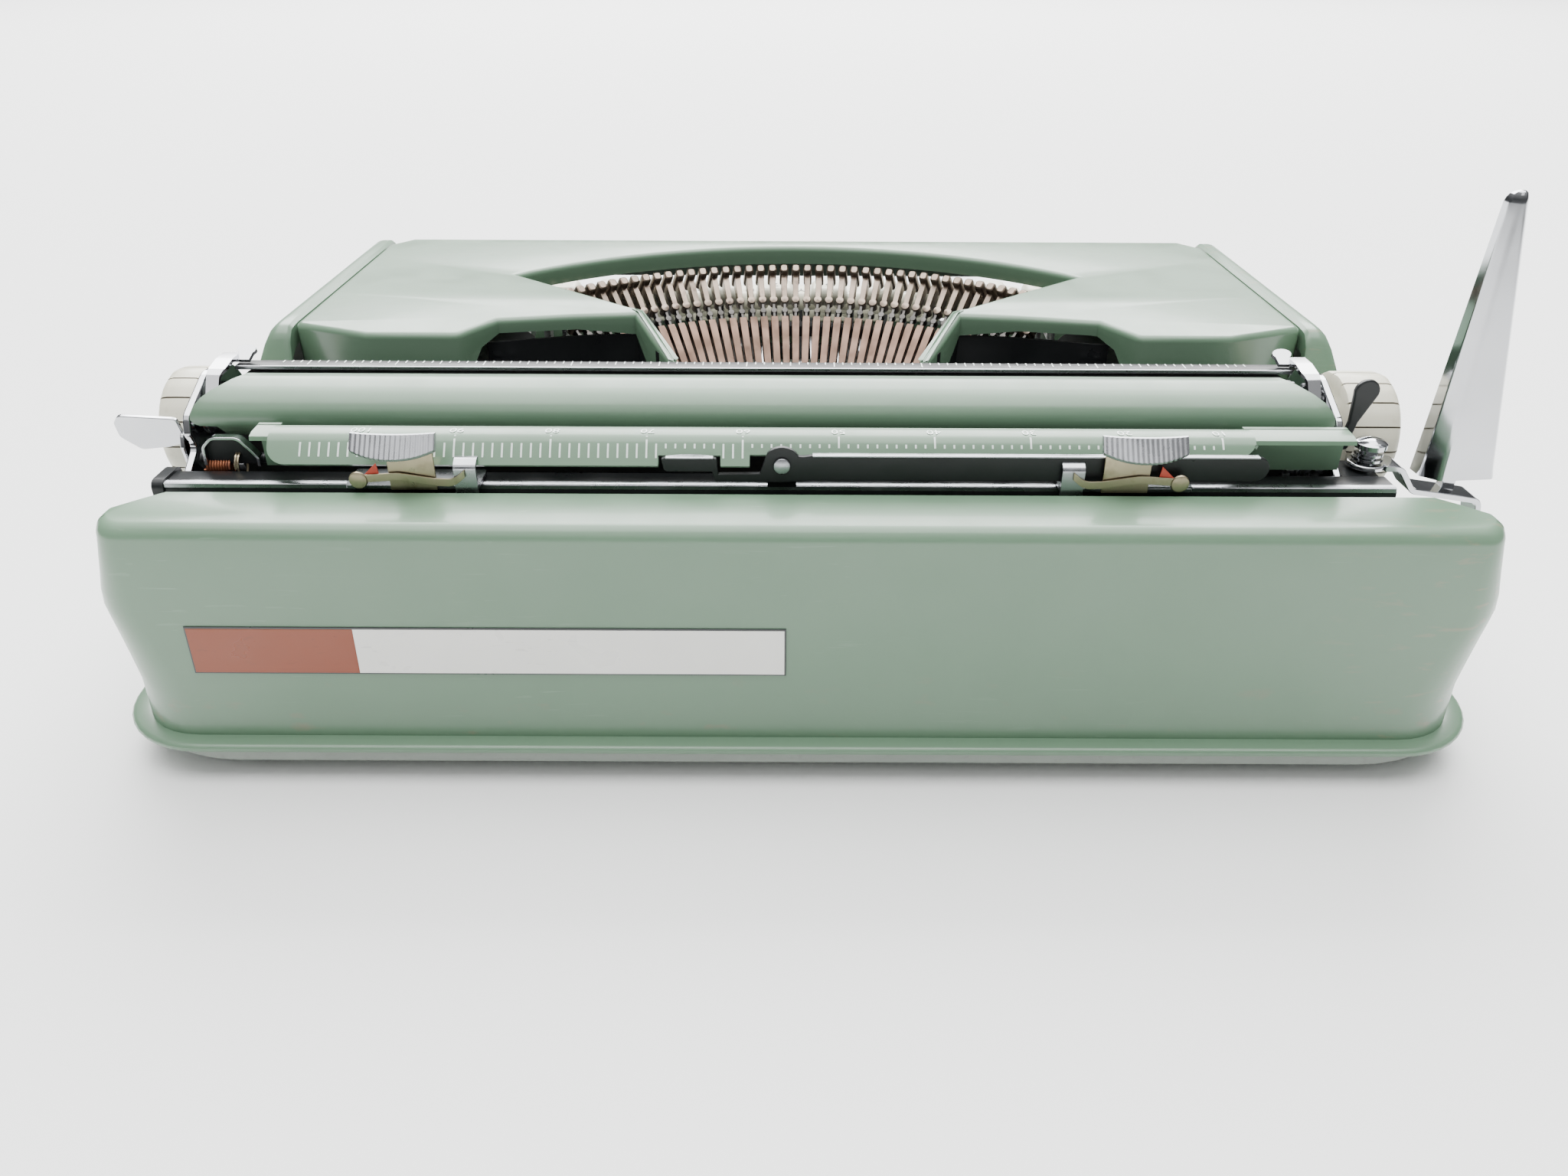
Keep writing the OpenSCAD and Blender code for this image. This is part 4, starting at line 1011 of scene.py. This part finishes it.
def end_plates():
    """Polished side plates: a curved outline with a rolled bright edge."""
    outline = fillet([(62, 43), (63.4, 64), (71, 75), (84, 77.4), (97.6, 71.4), (99.3, 67.2), (97.6, 63.6),
                      (103.9, 59.5), (103.9, 50.5), (96, 43)], [4, 10, 8, 8, 3.5, 1.6, 3, 3, 3, 5], 6,
                     closed=True)
    for s, node in ((-1, "carriage_end_left"), (1, "carriage_end_right")):
        form = Form()
        a, b = (END_X, END_X + 1.8) if s > 0 else (-END_X - 1.8, -END_X)
        form.prism(outline, a, b, ALONG_X)
        detail(node, form, CHROME, "chrome", 0.45, 3, carriage=True)


def paper_table():
    """A bent sheet that runs from its front edge over its back to the lower lip."""
    form = Form()
    # y, z, half width
    profile = [(85.3, 76.5, 120.2), (85.6, 77.2, 120.4), (86.8, 77.8, 121.2), (90, 77.5, 123.6),
               (94.2, 76.5, 126.6), (96.6, 75.4, 128.5), (98.2, 73.8, 129.9), (98.95, 72.2, 130.6),
               (99.15, 70.9, 130.8), (99.1, 70.0, 130.2), (98.95, 69.4, 129.0), (98.85, 69.2, 125.2),
               (98.5, 68.2, 124.3), (97.8, 67.1, 123.8), (96.6, 66.2, 123.4), (95.2, 65.7, 123)]
    shares = [0, 0.01, 0.03] + [k / 12 for k in range(1, 12)] + [0.97, 0.99, 1]
    ids = [form.ring([(-half + 2 * half * t, y, z) for t in shares]) for y, z, half in profile]
    for a, b in zip(ids, ids[1:]):
        form.skin(a, b, loop=False)
    piece = detail("paper_table", form, PAINT, "green_paint", 0, sharp=60, carriage=True)
    thicken(piece, 1.1)
    bevel(piece, 0.45, 3, 50)


SCALE_PATH = [(104.2, 71.9), (106, 72.0), (108.2, 71.85), (109.3, 71.45), (110.2, 70.6), (111.6, 69.0),
              (113.6, 66.6)]
SCALE_HW, SCALE_CORNER = 109, 4


def scale_point(s, lift=0.0):
    """(y, z) at a distance s along the margin scale's section, lifted off its face."""
    left = s
    for a, b in zip(SCALE_PATH, SCALE_PATH[1:]):
        a, b = Vector(a), Vector(b)
        length = (b - a).length
        if left <= length or b == Vector(SCALE_PATH[-1]):
            along = (b - a) / length
            return tuple(a + along * left + Vector((-along.y, along.x)) * lift)
        left -= length


SCALE_LEN = sum((Vector(b) - Vector(a)).length for a, b in zip(SCALE_PATH, SCALE_PATH[1:]))
SCALE_STEPS = (2.7, 9.1, 22.8)             # where the lower edge steps in or out, round the finger notch


def scale_reach(x):
    """How far down the face the scale's lower edge is at x."""
    full = SCALE_LEN
    first, second, third = SCALE_STEPS
    if -SCALE_HW <= x < first:
        full -= 2.6
    elif second <= x < third:
        full -= 2.4
    end = SCALE_HW - abs(x)
    if end >= SCALE_CORNER:
        return full
    return full - (SCALE_CORNER - math.sqrt(max(0, SCALE_CORNER ** 2 - (SCALE_CORNER - end) ** 2)))


def margin_scale():
    form = Form()
    tiny = 0.02
    near_end = (0, 0.1, 0.4, 1, 2, 3, 4)
    xs = [-SCALE_HW + d for d in near_end] + [SCALE_HW - d for d in near_end] + list(range(-100, 101, 20))
    for x in SCALE_STEPS:
        xs += [x - tiny, x]
    rows = [0, 1.8, 4.0, 5.2, 6.4]
    ids = []
    for x in sorted(xs):
        reach = scale_reach(x) - rows[-1]
        levels = rows + [rows[-1] + reach * k / 4 for k in (1, 2, 3, 4)]
        ids.append(form.ring([(x, *scale_point(s)) for s in levels]))
    for a, b in zip(ids, ids[1:]):
        form.skin(a, b, loop=False)
    # wings that carry the scale from the end plates
    section = ((104.2, 71.9), (107.5, 71.8), (109.3, 71.3), (109.6, 70.4))
    for s, x0 in ((-1, 131.4), (1, 113.2)):
        wing = [form.ring([(s * x, y, z) for y, z in section])
                for x in (108.9, 112, 116, x0) if x <= x0 or s < 0]
        for a, b in zip(wing, wing[1:]):
            form.skin(a, b, loop=False)
        tab = [form.ring([(s * x, 104.0, z) for z in (72, 68, 62)]) for x in (108, x0)]
        form.skin(tab[0], tab[1], loop=False)
    piece = detail("margin_scale", form, PAINT, "green_paint", 0, sharp=60, carriage=True)
    face_up(piece)
    thicken(piece, 1.1)
    bevel(piece, 0.2, 2, 50)
    scale_marks()


def face_up(piece):
    """Turns every face of an open sheet to look up or back, so that its thickness goes below it."""
    bm = bmesh.new()
    bm.from_mesh(piece.data)
    for f in bm.faces:
        if f.normal.z + f.normal.y < 0:
            f.normal_flip()
    bm.to_mesh(piece.data)
    bm.free()


def scale_marks():
    form = Form()
    first, last = 10, 106
    section = ((-0.2, 0.01), (0.2, 0.01), (0.2, 0.06), (-0.2, 0.06))
    for unit in range(first, last + 1):
        x = (unit - MID_UNIT) * STEP_X
        major = unit % 10 == 0
        a = 4.6 if major else 6.6
        b = min(9.9, scale_reach(x) - 1.6)
        form.loft([[(x + dx, *scale_point(a + (b - a) * k / 4, lift)) for dx, lift in section]
                   for k in range(5)])
        if major and unit <= 100:
            form.add(lettering(str(unit), 3.4, (x, 106.7, 72.0)))
    build("margin_scale_marks", form, "carriage", MARK, soft=0, sharp=60, carriage=True)


def platen():
    form = Form()
    half = 125
    profile = [(11, -half), (13.2, -half), (13.8, -half + 0.3), (14, -half + 1)]
    profile += [(14, -half + 2 + (2 * half - 4) * k / 10) for k in range(11)]
    profile += [(14, half - 1), (13.8, half - 0.3), (13.2, half), (11, half)]
    form.turn(profile, (PLATEN_Y, PLATEN_Z), ALONG_X, 72, hollow=True)
    detail("platen", form, RUBBER, "rubber", 0, sharp=40, carriage=True)


def knobs():
    """Cream hand wheels: broad ribs parted by thin dark grooves, a rounded rim and a sunk end face."""
    ribs, per_rib = 15, 8
    for s, node, near, far in ((-1, "platen_knob_left", -138, -151), (1, "platen_knob_right", 134.4, 143.2)):
        form = Form()
        count = ribs * per_rib

        def ring(r, x, grooved):
            points = []
            for i in range(count):
                k = i % per_rib
                angle = math.tau * (i // per_rib + (0, 0.035, 0.07, 0.25, 0.45, 0.65, 0.85, 0.965)[k]) / ribs
                # the groove's floor sits in the first step; the ribs are slightly crowned
                here = r - (0.55 if k == 1 and grooved else 0.0) + (0.12 if k in (4, 5) and grooved else 0.0)
                points.append((x, PLATEN_Y + here * math.cos(angle), PLATEN_Z + here * math.sin(angle)))
            return points

        step = 1 if far > near else -1
        length = abs(far - near)
        # radius, distance from the inner end, grooved or not
        stations = [(11.5, 0, False), (13.4, 0, False), (14.0, 0.25, True), (14.25, 0.9, True),
                    (14.3, length * 0.4, True), (14.25, length - 2.4, True), (13.9, length - 1.1, True),
                    (13.1, length - 0.35, False), (12.2, length, False), (9.5, length, False),
                    (9.1, length - 0.5, False), (4.2, length - 0.6, False), (3.9, length - 0.2, False),
                    (0.05, length - 0.2, False)]
        rings = [form.ring(ring(r, near + step * d, g)) for r, d, g in stations]
        for k, (a, b) in enumerate(zip(rings, rings[1:])):
            for i in range(count):
                # groove faces take the dark brown groove colour
                groove = i % per_rib in (0, 1) and 2 <= k <= 6
                j = (i + 1) % count
                form.face((a[i], a[j], b[j], b[i]), 1 if groove else 0)
        form.face(rings[0][::-1])
        form.face(rings[-1])
        if s < 0:
            form.turn([(5.5, -138.2), (8, -138.1), (8, -134.6), (7.6, -134.4), (3.1, -134.4)],
                      (PLATEN_Y, PLATEN_Z), ALONG_X, 32)
        detail(node, form, [CREAM, GROOVE], "cream_plastic", 0, sharp=38, carriage=True)


def margin_stops():
    """Sliders with a folded clip, a ribbed finger tab, a leaf spring with its rivet, and a red pointer."""
    for s, x0, node in ((1, 79.4, "margin_stop_right"), (-1, -82.7, "margin_stop_left")):
        form = Form()

        def at(x):
            return x0 + s * x

        def span(a, b):
            return (min(at(a), at(b)), max(at(a), at(b)))

        a, b = span(-17, 12.5)
        form.prism(rounded(a, b, 106.2, 114.9, 0.8, 3), 61.35, 62.25)
        # folded clip over the slider, at its inner end
        clip = thick(fillet([(107.5, 67.6), (113.4, 67.9), (115.2, 66.9), (115.2, 60.7)], 1.2, 5), 0.7)
        a, b = span(-17, -12)
        form.prism(clip, a, b, ALONG_X)
        # neck: a plate leaning up behind the paper support
        neck = thick(fillet([(115.2, 61.4), (115.1, 66.5), (115.0, 71.4)], 2, 4), 0.6)
        a, b = span(-8, 2.2)
        form.prism(neck, a, b, ALONG_X, 1)
        # finger tab: curved in plan like a smile, ribbed up and down
        ribs = 17
        rings = []
        for i in range(ribs * 4 + 1):
            t = i / (ribs * 4) * 2 - 1
            sag = 2.0 * abs(t) ** 2.2
            rib = 0.16 if i % 4 in (1, 2) else 0
            section = ((118.9 - sag + rib, 69.7 + sag * 0.75),
                       (119.2 - sag + rib, 70.3 + sag * 0.75),
                       (115.6 - sag * 0.3 + rib * 0.6, 74.5 + sag * 0.1),
                       (115.0 - sag * 0.3, 74.5 + sag * 0.1),
                       (114.6 - sag * 0.3, 73.9 + sag * 0.1),
                       (118.2 - sag, 69.4 + sag * 0.75))
            rings.append([(at(9.2 * t), y, z) for y, z in section])
        form.loft(rings)
        # leaf spring that bows out, its rivet, and the pointer
        path = fillet([(at(9), 64.2), (at(0), 64.9), (at(-8), 63.6), (at(-12), 63.4), (at(-14.6), 65.6)],
                      4, 4)
        rings = [[(x, 115.75, z - 0.9), (x, 116.15, z - 0.9), (x, 116.15, z + 0.9), (x, 115.75, z + 0.9)]
                 for x, z in path]
        form.loft(rings, mat=2)
        form.turn([(1.0, 115.4), (1.0, 116.0), (2.1, 116.05), (1.9, 116.4), (1.2, 116.6), (0.05, 116.65)],
                  (at(8.8), 64), ALONG_Y, 20, 2)
        tip = [(at(7.6), 65), (at(4.2), 64.8), (at(4.6), 67.8)]
        form.prism(tip, 115.3, 115.6, ALONG_Y, 3)
        detail(node, form, [SATIN, BRASS, BRASS, RED], "chrome", 0.08, carriage=True)


def paper_support():
    """Thin black arm with a bright satin upper edge, a painted highlight, swinging on its pin."""
    form = Form()
    x0, z0 = SUPPORT
    outline = (arc((-108.5, z0 - 0.6), 3, 265, 110, 8) + [(-60, z0 + 2.4), (-12, z0 + 2.4), (-9, z0 + 2.0)]
               + arc((x0, z0), 4.2, 150, 40, 8)
               + [(0.4, 64.9), (9.6, 64.7), (9.9, 68.3), (10.6, 68.5), (21.4, 68.5), (22.1, 68.2),
                  (21.6, 65.6), (21, 65.2), (11, 65.2), (10.4, 62.9), (x0, 62.7), (-12, 63.2)])
    form.prism(outline, 112.5, 113.7, ALONG_Y)
    # bright satin strip along the top edge: a painted highlight
    form.prism([(-109, z0 + 2.45), (-60, z0 + 2.45), (-11, z0 + 2.45), (-11, z0 + 2.0), (-109, z0 + 2.0)],
               112.3, 114.0, ALONG_Y, 1)
    # curved finger plate in the scale's notch
    rings = []
    for k in range(9):
        x = 10.6 + 10.6 * k / 8
        y = 112.6 - 0.9 * math.sin(math.pi * k / 8)
        rings.append([(x, y, 68.7), (x, 113.7, 68.6), (x, 113.7, 68.2), (x, y, 68.2)])
    form.loft(rings, mat=1)
    detail("paper_support_arm", form, [BLACK, SATIN], "black_metal", 0.2, carriage=True)


def paper_bail():
    """Graduated bar over the platen, with an arm and a round thumb tab at each end."""
    form = Form()
    bar = fillet([(75.6, 76.15), (79.8, 76.15), (79.8, 77.05), (75.6, 77.05)], 0.2, 3, closed=True)
    edge = fillet([(79.4, 76.1), (80.0, 76.1), (80.0, 77.1), (79.4, 77.1)], 0.2, 3, closed=True)
    form.prism(bar, -127, 127, ALONG_X)
    form.prism(edge, -127, 127, ALONG_X, 1)
    for s in (-1, 1):
        # flat arm from the pivot up and forward to the tab
        arm = fillet([(92, 68.4), (89.4, 72.4), (86, 77.6), (80.5, 78.6), (76, 78.6)], 3, 4)
        widths = [1.6 + 2.4 * min(1, k / (len(arm) - 1) * 1.6) for k in range(len(arm))]
        rings = []
        for k, (y, z) in enumerate(arm):
            along = Vector(arm[min(k + 1, len(arm) - 1)]) - Vector(arm[max(k - 1, 0)])
            up = Vector((-along.y, along.x)).normalized() * 0.45
            outer = 130.9
            inner = outer - widths[k]
            rings.append([(s * inner, y + up.x, z + up.y), (s * outer, y + up.x, z + up.y),
                          (s * outer, y - up.x, z - up.y), (s * inner, y - up.x, z - up.y)])
        form.loft(rings, mat=2)
        # thumb tab: a neck and a round lobe, leaning up
        lobe = [(128.6, 0), (124.2, 0)] + arc((125.2, 5.0), 2.3, 225, -45, 12) + [(130.6, 1.4), (130.8, 0)]
        lean = math.radians(38)
        back, up = 0.55 * math.cos(lean), 0.62 * math.sin(lean)
        form.loft([[(s * x, 77.6 - v * back + t * math.sin(lean), 77.2 + v * up + t) for x, v in lobe]
                   for t in (0, 0.8)], mat=2)
        form.turn([(1.6, s * 130.4), (1.6, s * 131.3)], BAIL_PIVOT, ALONG_X, 20, 2)
        form.turn([(2.9, s * 129.4), (3.0, s * 129.6), (3.0, s * 130.4), (2.9, s * 130.6)],
                  BAIL_PIVOT, ALONG_X, 24, 2)
    detail("paper_bail", form, [BLACK, SATIN, CHROME], "chrome", 0.18, carriage=True)
    marks = Form()
    for unit in range(3, 114):
        x = (unit - MID_UNIT) * STEP_X
        tall = 3.0 if unit % 10 == 0 else (2.2 if unit % 5 == 0 else 1.5)
        marks.loft([[(x - 0.14, y, 77.0), (x + 0.14, y, 77.0), (x + 0.14, y, 77.12), (x - 0.14, y, 77.12)]
                    for y in (75.8, 75.8 + tall)])
    build("paper_bail_marks", marks, "paper_bail", MARK, soft=0, sharp=60, carriage=True)


def return_lever_arm():
    """Bent strip with an eye round the pivot screw, and the lug and pin that the handle folds on."""
    form = Form()
    y0 = SCREW[1]
    form.turn([(2.1, 60.7), (4.1, 60.7), (4.3, 61.0), (4.3, 61.7), (4.0, 62.0), (2.1, 62.0)], SCREW, n=36,
              hollow=True)
    path = fillet([(-143.6, 61.35), (-147.4, 61.2), (-151.4, 55.6), (-167.6, 53.2), (-169.1, 46.9)],
                  [0, 2.4, 2.4, 2.2, 0], 6)
    form.prism(thick(path, 1.35), y0 - 3.4, y0 + 3.4, ALONG_Y)
    lug = fillet([(95.6, 53.8), (95.6, 60.9), (98.4, 60.9), (98.4, 53.8)], 1.2, 5, closed=True)
    form.prism(lug, -163, -160, ALONG_X)
    form.turn([(0.95, -168.6), (0.95, -154.2)], HINGE, ALONG_X, 20)
    detail("return_lever_arm", form, CHROME, "chrome", 0.3, 3, carriage=True)


def return_lever_handle():
    """Tapered channel, open towards the typist, closing to a round tip."""
    form = Form()
    rings = []
    steps = 22
    for k in range(steps + 1):
        t = k / steps
        z = 58.4 + 61.2 * t
        right = -153.4 - 3.0 * t                        # side that faces the machine
        left = -169.5 + 9.1 * t
        back = 102.6 - 5.0 * t
        depth = 7.6 - 4.2 * t
        cut = 3.4 - 1.9 * t                             # width of the leaning side facet
        section = fillet([(right + 0.2, back - depth), (right, back - depth * 0.45), (right - cut, back),
                          (left + 1.2, back + 0.15), (left, back - 1.4), (left + 0.3, back - depth)],
                         [0, 0.9, 2.2, 1.2, 0.8, 0], 5)
        rings.append([(x, y, z + (0.9 * (right - x) / 16 if k == 0 else 0)) for x, y in section])
    last = rings[-1]
    cx = sum(p[0] for p in last) / len(last)
    cy = sum(p[1] for p in last) / len(last)
    for share, rise in ((0.93, 0.9), (0.78, 1.7), (0.55, 2.3), (0.28, 2.65)):
        rings.append([(cx + (x - cx) * share, cy + (y - cy) * share, z + rise) for x, y, z in last])
    made = form.loft(rings, loop=False, caps=(False, False))
    form.face(made[-1])
    piece = detail("return_lever_handle", form, CHROME, "chrome", 0, sharp=60, carriage=True)
    thicken(piece, 1.0)
    bevel(piece, 0.3, 3, 55)


def line_space_selector():
    """A small black paddle."""
    form = Form()
    outline = fillet([(-134, 63.6), (-136, 63.6), (-137.3, 70.5)], [0.6, 0.6, 3], 3)
    outline += arc((-137.6, 77.9), 2.85, 195, -15, 12) + [(-135.2, 70.5)]
    form.prism(outline, 95.1, 96.5, ALONG_Y)
    form.turn([(1.4, -136.2), (1.4, -133.4)], (95.8, 65), ALONG_X, 20)
    detail("line_space_selector", form, BLACK, "black_metal", 0.45, 3, carriage=True)


def paper_release_lever():
    """A bent black tab with a bright edge."""
    form = Form()
    edge = fillet([(127, 62), (126.8, 66.4), (124.6, 68.5), (118.6, 68.5), (116.2, 65.6), (114.9, 63.8),
                   (115, 61.8)], [0, 2.2, 2.4, 2.4, 2, 1, 0], 5)
    form.prism(edge, 102.0, 102.9, ALONG_Y)
    form.prism(thick(edge, 0.7), 102.0, 104.3, ALONG_Y, 1)
    form.turn([(1.2, 114), (1.2, 129)], (101.6, 62.8), ALONG_X, 16)
    detail("paper_release_lever", form, [BLACK, CHROME], "black_metal", 0.15, carriage=True)


def carriage_release_lever():
    """An upright with a broad paddle bent out over the end plate."""
    form = Form()
    form.prism(fillet([(93.6, 52.4), (97.4, 52.4), (99.4, 64), (98, 67.8), (94.4, 66)], 1.5, 4, closed=True),
               133.7, 134.7, ALONG_X)
    paddle = fillet([(134.0, -3.2), (134.4, 3.4), (147.6, 4.2), (149.2, 2.2), (149.2, -1.6), (145.2, -5.2),
                     (138.5, -4.4)], [0.6, 1.4, 1.4, 1.2, 2.0, 2.0, 3], 5, closed=True)
    lean = math.radians(-12)
    c, s = math.cos(lean), math.sin(lean)
    form.loft([[(x, 97.2 + t * c - v * s, 67.6 + t * s + v * c) for x, v in paddle] for t in (-0.55, 0.55)])
    form.turn([(2.4, 133.5), (2.4, 135.8), (2.0, 136)], (95.6, 54), ALONG_X, 20)
    detail("carriage_release_lever", form, CHROME, "chrome", 0.3, 3, carriage=True)


def end_springs():
    """The coil and hair spring at the right end of the carriage, behind its end plate."""
    form = Form()
    turns, r, per_turn = 9, 1.9, 12
    coil = []
    for k in range(turns * per_turn + 1):
        a = math.tau * k / per_turn
        coil.append((122.2 + 5.6 * k / (turns * per_turn), 101.9 + r * math.cos(a), 60.8 + r * math.sin(a)))
    form.tube(coil, 0.32, 6)
    hair = []
    for k in range(26):
        a = math.tau * k / 20
        hair.append((120.2 - 0.6 * k / 20, 102.2 + 2.7 * math.cos(a), 61.4 + 3.2 * math.sin(a)))
    form.tube(hair, 0.3, 6, 1)
    build("carriage_end_springs", form, "carriage", [COPPER, BRASS], soft=0, sharp=60,
          carriage=True)


# --------------------------------------------------------------------------- stage and camera

CAMERA = Vector((3.7, 344.4, 171.2))
TILT, YAW, ROLL = 30.42, -0.05, 0.28
FOCAL_SHARE = 1500 / 2048          # focal length over image width
SENSOR = 36


def camera():
    data = bpy.data.cameras.new("camera")
    data.sensor_width = SENSOR
    data.lens = SENSOR * FOCAL_SHARE
    data.clip_start = 0.01
    cam = bpy.data.objects.new("camera", data)
    bpy.context.scene.collection.objects.link(cam)
    aim = (Matrix.Rotation(math.radians(180 + YAW), 3, "Z") @ Matrix.Rotation(math.radians(90 - TILT), 3, "X")
           @ Matrix.Rotation(math.radians(ROLL), 3, "Z"))
    cam.location = CAMERA * MM + ORIGIN
    cam.rotation_euler = aim.to_euler()
    bpy.context.scene.camera = cam


def area_light(name, size, power, position, target=(0, 0, 0.05)):
    data = bpy.data.lights.new(name, "AREA")
    data.shape = "RECTANGLE"
    data.size, data.size_y = size
    data.energy = power
    lamp = bpy.data.objects.new(name, data)
    bpy.context.scene.collection.objects.link(lamp)
    lamp.location = position
    lamp.rotation_euler = (Vector(target) - Vector(position)).to_track_quat("-Z", "Y").to_euler()


def stage():
    floor_mat = nodes_of("pale floor", (0.84, 0.845, 0.84), 0.9)[0]
    mesh = bpy.data.meshes.new("floor")
    half = 8
    corners = [(-half, -half, 0), (half, -half, 0), (half, half, 0), (-half, half, 0)]
    mesh.from_pydata(corners, [], [(0, 1, 2, 3)])
    mesh.materials.append(floor_mat)
    floor = bpy.data.objects.new("floor", mesh)
    bpy.context.scene.collection.objects.link(floor)
    world = bpy.data.worlds.new("studio")
    world.use_nodes = True
    tree = world.node_tree
    sky = tree.nodes.new("ShaderNodeTexCoord")
    height = tree.nodes.new("ShaderNodeSeparateXYZ")
    tree.links.new(sky.outputs["Generated"], height.inputs[0])
    ramp = tree.nodes.new("ShaderNodeValToRGB")
    ramp.color_ramp.elements[0].position = 0.12
    ramp.color_ramp.elements[0].color = (0.16, 0.165, 0.17, 1)
    ramp.color_ramp.elements[1].position = 0.72
    ramp.color_ramp.elements[1].color = (1.0, 1.0, 1.0, 1)
    tree.links.new(height.outputs["Z"], ramp.inputs[0])
    tree.links.new(ramp.outputs[0], tree.nodes["Background"].inputs["Color"])
    tree.nodes["Background"].inputs["Strength"].default_value = 0.6
    bpy.context.scene.world = world
    area_light("overhead", (4, 4), 330, (0.0, -0.5, 3.2), (0, -0.1, 0))
    area_light("window behind", (4.5, 2.2), 420, (0.0, -3.0, 2.3), (0, 0, 0))
    area_light("fill", (1.4, 0.9), 6, (0.4, 1.2, 1.3))


# ------------------------------------------------------------------------------------ assembly

camera()
stage()
base_tray()
rubber_feet()
body_shell()
label_plate()
ribbon_cover()
ribbon_shields()
typebars()
inner_works()
bell()
ribbon_posts()
ribbon()
keyboard()
space_bar()
carriage_rail()
end_plates()
paper_table()
margin_scale()
platen()
knobs()
margin_stops()
paper_support()
paper_bail()
return_lever_arm()
return_lever_handle()
line_space_selector()
paper_release_lever()
carriage_release_lever()
end_springs()
